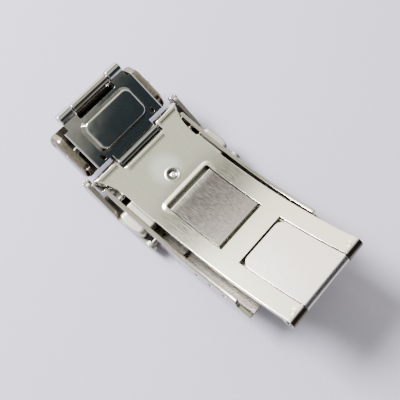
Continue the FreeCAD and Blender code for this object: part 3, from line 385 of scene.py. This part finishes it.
# The cover's outside and rim are finely brushed and a little shinier than the blade; painted shade reaches
# far into its inside.
COVER_STEEL = SteelFinish("satin steel cover", "C7C1B8", "A79F95", roughness=0.2, pitch_mm=0.12, edge_mm=0.3,
                          corner_shade_hex="1D1814", corner_shade_mm=2.6, corner_shade_level=0.95)
# The latch is duller than the cover: its arms keep a soft grey even where the room is dark.
LATCH_STEEL = SteelFinish("dull latch steel", "C7C1B8", "A79F95", roughness=0.4, pitch_mm=0.12, edge_mm=0.25,
                          corner_shade_hex="1D1814", corner_shade_mm=1.6, corner_shade_level=0.9)
# Polished sheet of the extension: mirror bright, its slow dents bend the reflections.
MIRROR_STEEL = SteelFinish("polished steel sheet", "BBBBB8", "B0B0AC", roughness=0.09, roughness_swing=0.02,
                           grain=Grain.NONE, pitch_mm=1.2, depth_mm=0.0, wave_mm=5.0, wave_depth_mm=0.022,
                           edge_shine=0.0, edge_mm=0.03, corner_shade_hex="15120F", corner_shade_mm=1.2, corner_shade_level=0.8)
# The swing link is bright at its knuckle only: its web lies in the dark under the plate.
SWING_STEEL = SteelFinish("swing link steel", "BBB6AC", "A49E94", roughness=0.13, roughness_swing=0.04,
                          grain=Grain.ACROSS, pitch_mm=0.2, depth_mm=0.0004, edge_shine=0.0, edge_mm=0.12,
                          shade_band=(-18.006, 4.5, 0.5), shade_band_hex="211D19", corner_shade_hex="0F0C0A", corner_shade_mm=2.0,
                          corner_shade_level=0.9)
# The end link is the same sheet in a brownish grey, painted darker for the shade it lies in, with painted
# shade deepening towards its inside.
END_STEEL = SteelFinish("brownish end link with painted shade", "989084", "6B6459", roughness=0.2, roughness_swing=0.05,
                        grain=Grain.ALONG, pitch_mm=0.2, depth_mm=0.001, edge_shine=0.05, edge_mm=0.2,
                        corner_shade_hex="16110D", corner_shade_mm=2.4, corner_shade_level=0.95)
# Push buttons: soft bead-blasted satin that hardly mirrors anything.
BUTTON_STEEL = SteelFinish("blasted steel button", "C8C4B9", "B0AB9F", roughness=0.42, roughness_swing=0.06,
                           grain=Grain.NONE, pitch_mm=0.14, depth_mm=0.002, edge_mm=0.25)
# Ground pins and pegs: bright round bar stock.
PIN_STEEL = SteelFinish("ground steel pin", "C7C5C2", "B1B0AC", roughness=0.14, roughness_swing=0.04,
                        grain=Grain.ACROSS, pitch_mm=0.1, depth_mm=0.0005, edge_mm=0.06)
# The stud's bowl is painted dark as its shade, which shows as a dark ring; its dome carries a painted
# highlight in the middle.
STUD_STEEL = SteelFinish("stud bowl with painted shade and highlight", "767672", "5F5F5C", roughness=0.2, roughness_swing=0.05,
                         grain=Grain.NONE, pitch_mm=0.2, depth_mm=0.0005, edge_mm=0.05,
                         painted_spot=(STUD_X, 0.0, 0.34, 0.6))
# Pressed inner parts keep the brownish grey of steel that is never polished.
INNER_STEEL = SteelFinish("pressed inner steel", "80776B", "534B43", roughness=0.36, roughness_swing=0.1,
                          grain=Grain.ALONG, pitch_mm=0.25, depth_mm=0.002, corner_shade_hex="14100D",
                          corner_shade_mm=2.0, corner_shade_level=0.9)
# Spring wire: drawn, smooth and slightly dark.
SPRING_STEEL = SteelFinish("drawn spring wire", "A7A59F", "807D79", roughness=0.2, grain=Grain.NONE,
                           pitch_mm=0.2, depth_mm=0.0005, edge_mm=0.02)


# Sub-assemblies

@dataclass
class Assembly:
    """A group of solids that share a maker and a way of being dressed.

    Attributes:
        nodes: Solids of the frame to their finishes.
    """

    nodes: dict[str, SteelFinish] = field(default_factory=dict)

    def dress(self, frame: dict) -> None:
        """Give each solid of this group its finish.
        """
        for name, finish in self.nodes.items():
            data = frame["nodes"][name].data
            data.materials.clear()
            data.materials.append(finish.material())
            LOG.info("dressed %s as %s", name, finish.name)

    def add_details(self) -> None:
        """Add the formed details of this group; a plain group has none."""

    def keep(self, piece: bpy.types.Object, finish: SteelFinish, body: str, slot: str) -> None:
        """Dress a new piece and let it ride on a body.

        Args:
            piece: The new mesh object.
            finish: Its finish.
            body: Body that carries it.
            slot: Name of a material slot of the record; not used.
        """
        piece.data.materials.append(finish.material())
        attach(piece, body)
        LOG.info("added %s on %s", piece.name, body)


@dataclass
class OuterBlade(Assembly):
    """Curved wrist-side blade with what the press raised on its wrist face.

    Places along x are measured from the lowest place of the blade's arc.

    Attributes:
        arc_radius: Wrist face of the blade, in side view.
        low_z: Height of that face where it is lowest.
        stud_x: Middle of the catch stud.
        rim_inner: Inner foot of the rim about the stud's bowl.
        rim_crest: Radius of the rim's crest.
        rim_outer: Outer foot of the rim.
        rim_rise: Height of the crest over the face.
        rim_root: Underside of the rim below the face.
        pip_radius: Radius of the dome in the stud's bowl.
        pip_rise: Height of that dome.
        pip_depth: Its foot below the face.
        pip_root: Its underside below the foot.
        pip_mark: Depth of the mark in its middle.
        pip_mark_reach: Radius of that mark, as a share of the dome's.
        flare_x: Where the sides begin to flare.
        flare_radius: Radius of the flare in plan.
        side_half: Half the blade's width before the flare.
        notch_x: Cross edge of the notch.
        notch_half: Half the length of its bead.
        wing_x: Where the wings' beads end over the knuckles.
        wing_inner: Start of a wing's bead along y.
        wing_outer: End of a wing's bead along y.
        bead_rise: Height of the beads' crests.
        bead_drop: From a crest down to its edge.
        bead_width: From an edge to the crest.
        bead_start: Start of the bead at the edge, as a share of its width.
        bead_power: How sharply a bead turns down towards its edge.
        bead_roots: Underside below the face at the edge and at the far foot.
        bead_inset: Distance that the beads keep from the blade's sides.
        bead_fade: Share of a bead's length over which each end fades.
        bead_sink: How far its faded ends lie below the face.
        window_x: Edge of the window on the extension side, at the face.
        window_half: Half the window's width.
        lip_width: How far the raised lip reaches from the window's edge.
        lip_rise: Height of the lip at the window's edge.
        lip_run: How far the lip follows the window's sides before it has faded.
        lip_corner: Corner radius of the window.
        lip_edge: Radius that the lip rolls over at the edge.
        lip_overhang: How far the lip reaches past the edge, to hide it.
        lip_roots: Underside below the face at the edge and at the foot.
        lip_narrow: Width of the lip where it has faded, as a share of its full width.
        skin: How far a raised form starts below the face, so that no slit shows.
    """

    arc_radius: float = 50.5
    low_z: float = 6.4
    stud_x: float = STUD_X
    rim_inner: float = 0.8
    rim_crest: float = 1.13
    rim_outer: float = 1.5
    rim_rise: float = 0.09
    rim_root: float = 0.2
    pip_radius: float = 0.62
    pip_rise: float = 0.17
    pip_depth: float = 0.24
    pip_root: float = 0.1
    pip_mark: float = 0.05
    pip_mark_reach: float = 0.16
    flare_x: float = -3.8
    flare_radius: float = 9.7
    side_half: float = 7.95
    notch_x: float = -7.75
    notch_half: float = 4.72
    wing_x: float = -9.546
    wing_inner: float = 4.94
    wing_outer: float = 9.4
    bead_rise: float = 0.14
    bead_drop: float = 0.48
    bead_width: float = 0.7
    bead_start: float = 0.03
    bead_power: float = 2.2
    bead_roots: tuple[float, float] = (0.6, 0.4)
    bead_inset: float = 0.12
    bead_fade: float = 0.06
    bead_sink: float = 0.02
    window_x: float = 2.1883
    window_half: float = 4.92
    lip_width: float = 0.95
    lip_rise: float = 0.19
    lip_run: float = 2.2
    lip_corner: float = 0.35
    lip_edge: float = 0.12
    lip_overhang: float = 0.02
    lip_roots: tuple[float, float] = (0.35, 0.3)
    lip_narrow: float = 0.35
    skin: float = 0.004

    def face_height(self, x: np.ndarray) -> np.ndarray:
        """Height of the wrist face: the arc's middle less the root of r squared less x squared."""
        return self.low_z + self.arc_radius - np.sqrt(self.arc_radius ** 2 - x ** 2)

    def form(self, name: str, x: np.ndarray, y: np.ndarray, z: np.ndarray,
             **closing: bool) -> bpy.types.Object:
        """Make a piece from places on the blade.

        Args:
            name: Name of the piece.
            x: Places along the blade, from the arc's lowest place.
            y: Places across the blade.
            z: Heights.
            closing: What mesh_from_grid is to close.

        Returns:
            The piece.
        """
        points = np.stack(np.broadcast_arrays(arc_x() + x, y, z), axis=-1) * MM
        return mesh_from_grid(name, points, **closing)

    def add_details(self) -> None:
        """Add what the press pushed up: the stud's rim and dome, the window's lip and the beads."""
        self.keep(self.stud_rim(), RIM_STEEL, "outer_blade", "blade_steel")
        self.keep(self.window_lip(), BLADE_STEEL, "outer_blade", "blade_steel")
        notch, inner, outer = self.notch_half, self.wing_inner, self.wing_outer
        beads = (self.edge_bead("notch_bead", self.notch_x, -notch, notch),
                 self.edge_bead("wing_bead_left", self.wing_x, inner, outer, side=-1),
                 self.edge_bead("wing_bead_right", self.wing_x, inner, outer))
        for bead in beads:
            self.keep(bead, BLADE_STEEL, "outer_blade", "blade_steel")
        self.keep(self.stud_pip(), STUD_STEEL, "outer_blade", "pin_steel")

    def stud_rim(self) -> bpy.types.Object:
        """Raised rim about the stud's bowl.

        Its height over the face is the rise times the square of one less u squared, where
        u is the distance from the crest as a share of the slope's width on that side. An
        underside below the face closes it.

        Returns:
            The closed ring.
        """
        share = np.linspace(-1.0, 1.0, 41)
        width = np.where(share < 0, self.rim_crest - self.rim_inner, self.rim_outer - self.rim_crest)
        radius = np.concatenate([self.rim_crest + share * width, [self.rim_outer, self.rim_inner]])
        crest = self.rim_rise * (1 - share ** 2) ** 2 - self.skin
        lift = np.concatenate([crest, [-self.rim_root, -self.rim_root]])
        turn = np.linspace(0.0, 2 * np.pi, 96, endpoint=False)
        x = self.stud_x + radius[:, None] * np.cos(turn)
        y = radius[:, None] * np.sin(turn)
        z = self.face_height(x) + lift[:, None]
        return self.form("stud_rim", x, y, z, closed_u=True, closed_v=True)

    def stud_pip(self) -> bpy.types.Object:
        """Dome in the bowl of the stud, with a centre mark.

        At share t of its radius it stands over its foot by the rise times one less t
        squared, less a mark that falls off as the bell curve of t over the mark's reach.

        Returns:
            The closed dome.
        """
        share = np.linspace(0.01, 1.0, 21)
        dome = self.pip_rise * (1 - share ** 2) - self.pip_mark * np.exp(-(share / self.pip_mark_reach) ** 2)
        radius = self.pip_radius * np.concatenate([share, share[[-1, 0]]])
        lift = np.concatenate([dome, [-self.pip_root, -self.pip_root]]) - self.pip_depth
        turn = np.linspace(0.0, 2 * np.pi, 64, endpoint=False)
        x = self.stud_x + radius[:, None] * np.cos(turn)
        y = radius[:, None] * np.sin(turn)
        z = self.face_height(np.full_like(x, self.stud_x)) + lift[:, None]
        return self.form("stud_pip", x, y, z, closed_u=True, closed_v=True)

    def side_y(self, x: np.ndarray) -> np.ndarray:
        """Half the blade's width: straight sides, then an arc out to the wings."""
        run = np.clip(self.flare_x - x, 0.0, None)
        return self.side_half + self.flare_radius - np.sqrt(self.flare_radius ** 2 - run ** 2)

    def edge_bead(self, name: str, edge_x: float, low: float, high: float,
                  side: int = 1) -> bpy.types.Object:
        """Rolled bead along a cross edge on the extension side.

        At distance s from the edge, as a share of the bead's width, its height over the
        face is the rise less the drop times a power of one less s up to s = 1, then
        it falls with the smooth step to nothing at s = 2. It stays inside the blade's
        outline and fades at both ends.

        Args:
            name: Name of the piece.
            edge_x: Where the cross edge is.
            low: Start along y.
            high: End along y, as far as the blade reaches.
            side: 1 for the side of +y, -1 for the other.

        Returns:
            The closed bead.
        """
        away = np.concatenate([np.linspace(2.0, 1.0, 12), np.linspace(1.0, self.bead_start, 16)[1:]])
        far_slope = self.bead_rise * smooth_step(np.clip(2.0 - away, 0.0, 1.0))
        near_slope = self.bead_rise - self.bead_drop * np.clip(1.0 - away, 0.0, 1.0) ** self.bead_power
        lift = np.where(away > 1.0, far_slope, near_slope)
        edge_root, foot_root = self.bead_roots
        away = np.concatenate([away, [self.bead_start, 2.0]])
        lift = np.concatenate([lift, [-edge_root, -foot_root]])
        x = edge_x + away * self.bead_width
        reach = np.minimum(high, self.side_y(x) - self.bead_inset)
        share = np.linspace(0.0, 1.0, 49)[:, None]
        y = low + share * (reach - low)
        fade = smooth_step(np.clip(np.minimum(share, 1.0 - share) / self.bead_fade, 0.0, 1.0))
        faded = (lift + self.bead_sink) * fade - self.bead_sink
        z = self.face_height(x)[None, :] + np.where(lift > 0, faded, lift)
        return self.form(name, x, side * y, z, closed_v=True, caps=True)

    def window_lip(self) -> bpy.types.Object:
        """Raised lip along the window's edge on the extension side and round its corners.

        The path is a U with rounded corners. Across it, at share t from the foot to the
        edge, the lip rises with the smooth step of t, then rolls over a quarter circle
        and ends under the face. Its height fades to nothing along both sides.

        Returns:
            The closed strip.
        """
        corner = self.lip_corner
        bend = np.linspace(0.0, np.pi / 2, 13)[1:]
        start = self.window_x + self.lip_run
        run = np.linspace(start, self.window_x + corner, 14)
        flank_y = np.full_like(run, -self.window_half)
        bend_x = self.window_x + corner * (1 - np.sin(bend))
        bend_y = -self.window_half + corner * (1 - np.cos(bend))
        half_x = np.concatenate([run, bend_x, np.full(12, self.window_x)])
        half_y = np.concatenate([flank_y, bend_y, np.linspace(-self.window_half + corner, 0, 13)[1:]])
        path_x = np.concatenate([half_x, half_x[-2::-1]])
        path_y = np.concatenate([half_y, -half_y[-2::-1]])
        run_x, run_y = np.gradient(path_x), np.gradient(path_y)
        length = np.hypot(run_x, run_y)
        out_x, out_y = -run_y / length, run_x / length
        fade = smooth_step(np.clip((start - path_x) / self.lip_run, 0.0, 1.0))[:, None]
        share = np.linspace(0.0, 1.0, 12)
        roll = np.linspace(0.0, np.pi / 2, 6)[1:]
        edge_root, foot_root = self.lip_roots
        away = np.concatenate([self.lip_width * (1 - share) + self.lip_edge * share,
                               self.lip_edge * (1 - np.sin(roll)) - self.lip_overhang,
                               [-self.lip_overhang, self.lip_width]])
        lift = np.concatenate([self.lip_rise * smooth_step(share) - self.skin,
                               self.lip_rise - self.lip_edge * (1 - np.cos(roll)),
                               [-edge_root, -foot_root]])
        away = away[None, :] * (self.lip_narrow + (1 - self.lip_narrow) * fade)
        x = path_x[:, None] + away * out_x[:, None]
        y = path_y[:, None] + away * out_y[:, None]
        z = self.face_height(x) + np.where(lift > 0, lift * fade, lift)
        return self.form("window_lip", x, y, z, closed_v=True, caps=True)


@dataclass
class Extension(Assembly):
    """Folding extension with the turned ends of its pins.

    Attributes:
        cap_rise: Height of a pin end's dome, as a share of its radius.
        cap_reach: Radius of the dome, as a share of the pin's radius.
        cap_root: How deep the dome starts inside the pin, as a share of the pin's radius.
        mark_depth: Depth of the turning mark, as a share of the pin's radius.
        mark_reach: Radius of that mark, as a share of the dome's.
    """

    cap_rise: float = 0.28
    cap_reach: float = 0.9
    cap_root: float = 0.5
    mark_depth: float = 0.1
    mark_reach: float = 0.2

    def add_details(self) -> None:
        """Add a domed end to each side of both pins."""
        for pin, body in (("swing_link_pin", "extension_plate"), ("end_link_pin", "end_link")):
            low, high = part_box(pin)
            for side, name in ((-1, "left"), (1, "right")):
                cap = self.pin_cap(f"{pin}_{name}_end", low, high, side)
                self.keep(cap, PIN_STEEL, body, "pin_steel")

    def pin_cap(self, name: str, low: Vector, high: Vector, side: int) -> bpy.types.Object:
        """Domed end of a pin with a shallow turning mark in its middle.

        At share t of the radius the dome stands out by the rise times one less t squared,
        less a mark that falls off as the bell curve of t over the mark's reach. It starts
        inside the pin.

        Args:
            name: Name of the piece.
            low: Lowest corner of the pin's box.
            high: Highest corner of the pin's box.
            side: 1 for the end at high y, -1 for the other.

        Returns:
            The closed cap.
        """
        radius = (high.z - low.z) / 2
        middle = (low + high) / 2
        foot = high.y if side > 0 else low.y
        share = np.linspace(0.02, 1.0, 15)
        reach = radius * self.cap_reach * np.concatenate([share, share[[-1, 0]]])
        mark = self.mark_depth * radius * np.exp(-(share / self.mark_reach) ** 2)
        dome = self.cap_rise * radius * (1 - share ** 2) - mark
        out = np.concatenate([dome, [-self.cap_root * radius, -self.cap_root * radius]])
        turn = np.linspace(0.0, 2 * np.pi, 32, endpoint=False)
        x = middle.x + reach[:, None] * np.cos(turn)
        z = middle.z + reach[:, None] * np.sin(turn)
        y = np.broadcast_to(foot + side * out[:, None], x.shape)
        points = np.stack([x, y, z], axis=-1)
        return mesh_from_grid(name, points if side < 0 else points[:, ::-1], closed_u=True, closed_v=True)


@dataclass
class Studio:
    """Camera, pale floor and soft light. Lengths are in millimetres unless given as metres.

    Attributes:
        target: Point that the camera looks at, its x from the arc's lowest place.
        azimuth: Direction from the target to the camera, in degrees from +X towards +Y.
        elevation: Height of the camera over the level, in degrees.
        roll: Turn of the picture about its middle, in degrees.
        distance: From the target to the camera.
        lens: Focal length on a sensor of 36 mm.
        floor_half: Half the floor's side.
        floor_hexes: The two colours of the floor's tooth.
        room_level: Strength of the room's light.
        lamp_side: Side of the square lamp, in metres.
        lamp_distance: From the origin to the lamp, in metres.
        lamp_power: Power of the lamp, in watts.
        lamp_gloss: Share of the lamp that the steel mirrors.
        lamp_colour: Linear colour of the lamp.
        lamp_direction: Direction from the origin to the lamp.
    """

    target: tuple[float, float, float] = (5.4967, -0.45, 6.36)
    azimuth: float = -47.6
    elevation: float = 70.37
    roll: float = -0.93
    distance: float = 93.75
    lens: float = 51.78
    floor_half: float = 600.0
    floor_hexes: tuple[str, str] = ("A8A6B6", "B3AFC0")
    room_level: float = 1.25
    lamp_side: float = 0.17
    lamp_distance: float = 0.42
    lamp_power: float = 8.5
    lamp_gloss: float = 0.3
    lamp_colour: tuple[float, float, float] = (0.97, 0.975, 1.0)
    lamp_direction: tuple[float, float, float] = (-0.707, -0.230, 0.669)

    def place_camera(self) -> None:
        """Set the scene's camera at the photograph's viewing angle."""
        az, el, roll = (math.radians(a) for a in (self.azimuth, self.elevation, self.roll))
        out = Vector((math.cos(el) * math.cos(az), math.cos(el) * math.sin(az), math.sin(el)))
        level = (-out).cross(Vector((0, 0, 1))).normalized()
        rise = level.cross(-out)
        right = math.cos(roll) * level + math.sin(roll) * rise
        up = math.cos(roll) * rise - math.sin(roll) * level
        eye = (Vector((arc_x(), 0, 0)) + Vector(self.target) + self.distance * out) * MM
        data = bpy.data.cameras.new("camera")
        data.sensor_width = 36.0
        data.lens = self.lens
        data.clip_start = 0.002
        data.clip_end = 10.0
        camera = bpy.data.objects.new("camera", data)
        turn = Matrix((right, up, out)).transposed().to_4x4()
        camera.matrix_world = Matrix.Translation(eye) @ turn
        bpy.context.scene.collection.objects.link(camera)
        bpy.context.scene.camera = camera

    def lay_floor(self) -> None:
        """Lay the pale floor: a level grid in x and y with a fine paper-like tooth."""
        side = np.linspace(-self.floor_half, self.floor_half, 9) * MM
        x, y = np.meshgrid(side, side, indexing="ij")
        floor = mesh_from_grid("floor", np.stack([x, y, np.zeros_like(x)], axis=-1))
        floor.data.materials.append(self.floor_material())

    def floor_material(self) -> bpy.types.Material:
        """Matt pale board.

        Returns:
            The floor's material.
        """
        result = bpy.data.materials.new("matt pale board")
        result.use_nodes = True
        tree = result.node_tree
        tree.nodes.clear()
        place = add_node(tree, "ShaderNodeTexCoord")
        tooth = add_node(tree, "ShaderNodeTexNoise", {"Scale": 1400.0, "Detail": 3.0},
                         {"Vector": place.outputs["Object"]})
        low, high = (linear(text) for text in self.floor_hexes)
        tone = add_node(tree, "ShaderNodeMix", {"data_type": "RGBA", 6: low, 7: high},
                        {0: tooth.outputs["Fac"]})
        bump = add_node(tree, "ShaderNodeBump", {"Strength": 0.4, "Distance": 0.03 * MM},
                        {"Height": tooth.outputs["Fac"]})
        shader = add_node(tree, "ShaderNodeBsdfPrincipled", {"Roughness": 0.9, "Specular IOR Level": 0.2},
                          {"Base Color": tone.outputs[2], "Normal": bump.outputs["Normal"]})
        add_node(tree, "ShaderNodeOutputMaterial", {}, {"Surface": shader.outputs["BSDF"]})
        return result

    def light_room(self) -> None:
        """Give the world a soft sky with a bright side and a few darker cards."""
        world = bpy.data.worlds.new("soft room")
        bpy.context.scene.world = world
        world.use_nodes = True
        tree = world.node_tree
        tree.nodes.clear()
        place = add_node(tree, "ShaderNodeTexCoord")
        colour = None
        for patch in ROOM:
            heading = patch.direction()
            near = add_node(tree, "ShaderNodeVectorMath", {"operation": "DOT_PRODUCT", 1: heading},
                            {0: place.outputs["Generated"]})
            share = add_node(tree, "ShaderNodeMapRange",
                             {"interpolation_type": "SMOOTHSTEP",
                              "From Min": math.cos(math.radians(patch.outer)),
                              "From Max": math.cos(math.radians(patch.inner))},
                             {"Value": near.outputs["Value"]})
            mixed = add_node(tree, "ShaderNodeMix", {"data_type": "RGBA", 6: SKY, 7: patch.colour},
                             {0: share.outputs["Result"]})
            if colour is not None:
                tree.links.new(colour, mixed.inputs[6])
            colour = mixed.outputs[2]
        light = add_node(tree, "ShaderNodeBackground", {"Strength": self.room_level}, {"Color": colour})
        add_node(tree, "ShaderNodeOutputWorld", {}, {"Surface": light.outputs["Background"]})

    def hang_lamp(self) -> None:
        """Hang the soft square lamp over the extension end, facing the clasp."""
        data = bpy.data.lights.new("soft window", "AREA")
        data.shape = "RECTANGLE"
        data.size = self.lamp_side
        data.size_y = self.lamp_side
        data.energy = self.lamp_power
        data.specular_factor = self.lamp_gloss
        data.color = self.lamp_colour
        lamp = bpy.data.objects.new("soft window", data)
        out = Vector(self.lamp_direction).normalized()
        lamp.location = out * self.lamp_distance
        lamp.rotation_euler = out.to_track_quat("Z", "Y").to_euler()
        bpy.context.scene.collection.objects.link(lamp)


@dataclass(frozen=True)
class Patch:
    """A soft round part of the room's light.

    Attributes:
        azimuth: Direction of its middle, in degrees from +X towards +Y.
        elevation: Height of its middle in degrees.
        inner: Angle from the middle within which it is full, in degrees.
        outer: Angle from the middle at which it ends, in degrees.
        colour: Linear light level and alpha.
    """

    azimuth: float
    elevation: float
    inner: float
    outer: float
    colour: tuple[float, float, float, float]

    def direction(self) -> tuple[float, float, float]:
        """Unit vector towards the patch."""
        az, el = math.radians(self.azimuth), math.radians(self.elevation)
        return math.cos(el) * math.cos(az), math.cos(el) * math.sin(az), math.sin(el)


# Level of the room where no patch reaches, a little yellow as in daylight under trees.
SKY = (0.92, 0.94, 0.82, 1)
ROOM = (
    Patch(0, -90, 60, 100, (0.50, 0.50, 0.53, 1)),
    Patch(0, 5, 40, 85, (0.22, 0.20, 0.19, 1)),
    Patch(168, 22, 20, 42, (2.75, 2.58, 2.34, 1)),
    Patch(151, 58.5, 5.5, 10.5, (0.03, 0.03, 0.028, 1)),
    Patch(30, 38, 23.5, 25.0, (0.035, 0.05, 0.06, 1)),
)


def mesh_from_grid(name: str, points: np.ndarray, closed_u: bool = False, closed_v: bool = False,
                   caps: bool = False) -> bpy.types.Object:
    """Make a mesh object of a grid of points.

    Args:
        name: Name of the piece.
        points: Array of shape (u, v, 3) in metres.
        closed_u: Whether the last row joins the first.
        closed_v: Whether the last column joins the first.
        caps: Whether the first and last rows are filled in.

    Returns:
        The object, at the origin, unturned and unscaled.
    """
    rows, columns = points.shape[:2]
    u = np.arange(rows if closed_u else rows - 1)
    v = np.arange(columns if closed_v else columns - 1)
    a, b = np.meshgrid(u, v, indexing="ij")
    nxt, side = (a + 1) % rows, (b + 1) % columns
    faces = np.stack([a * columns + b, nxt * columns + b, nxt * columns + side, a * columns + side], axis=-1)
    shapes = faces.reshape(-1, 4).tolist()
    if caps:
        shapes.append(list(range(columns))[::-1])
        shapes.append(list(range((rows - 1) * columns, rows * columns)))
    mesh = bpy.data.meshes.new(name)
    mesh.from_pydata(points.reshape(-1, 3).tolist(), [], shapes)
    face_outwards(mesh)
    mesh.shade_smooth()
    piece = bpy.data.objects.new(name, mesh)
    bpy.context.scene.collection.objects.link(piece)
    return piece


def face_outwards(mesh: bpy.types.Mesh) -> None:
    """Turn every face outwards.

    Args:
        mesh: A mesh without doubles.
    """
    shape = bmesh.new()
    shape.from_mesh(mesh)
    bmesh.ops.recalc_face_normals(shape, faces=shape.faces)
    shape.to_mesh(mesh)
    shape.free()


def main() -> None:
    """Build the studio and dress every sub-assembly."""
    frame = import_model()
    studio = Studio()
    studio.place_camera()
    studio.lay_floor()
    studio.light_room()
    studio.hang_lamp()
    groups = (
        Assembly({"cover_shell": COVER_STEEL, "latch_housing": INNER_STEEL, "housing_lid": INNER_STEEL,
                  "cover_hinge_pin": PIN_STEEL, "latch_pivot_pins": PIN_STEEL}),
        OuterBlade({"outer_blade": BLADE_STEEL, "fold_hinge_pin": PIN_STEEL, "hinge_lock_studs": BLADE_STEEL,
                    "catch_stud": STUD_STEEL, "extension_hinge_pin": PIN_STEEL}),
        Assembly({"inner_blade": STRAP_STEEL}),
        Assembly({"safety_latch": LATCH_STEEL, "latch_snap_pegs": PIN_STEEL}),
        Assembly({"button_left": BUTTON_STEEL, "button_right": BUTTON_STEEL, "slide_left": INNER_STEEL,
                  "slide_right": INNER_STEEL, "spring_left": SPRING_STEEL, "spring_right": SPRING_STEEL}),
        Extension({"extension_plate": MIRROR_STEEL, "swing_link_pin": PIN_STEEL, "swing_link": SWING_STEEL,
                   "end_link": END_STEEL, "end_link_pin": PIN_STEEL}),
    )
    for group in groups:
        group.dress(frame)
        group.add_details()


if __name__ == "__main__":
    logging.basicConfig(level=logging.INFO, format="%(name)s %(message)s")
    main()
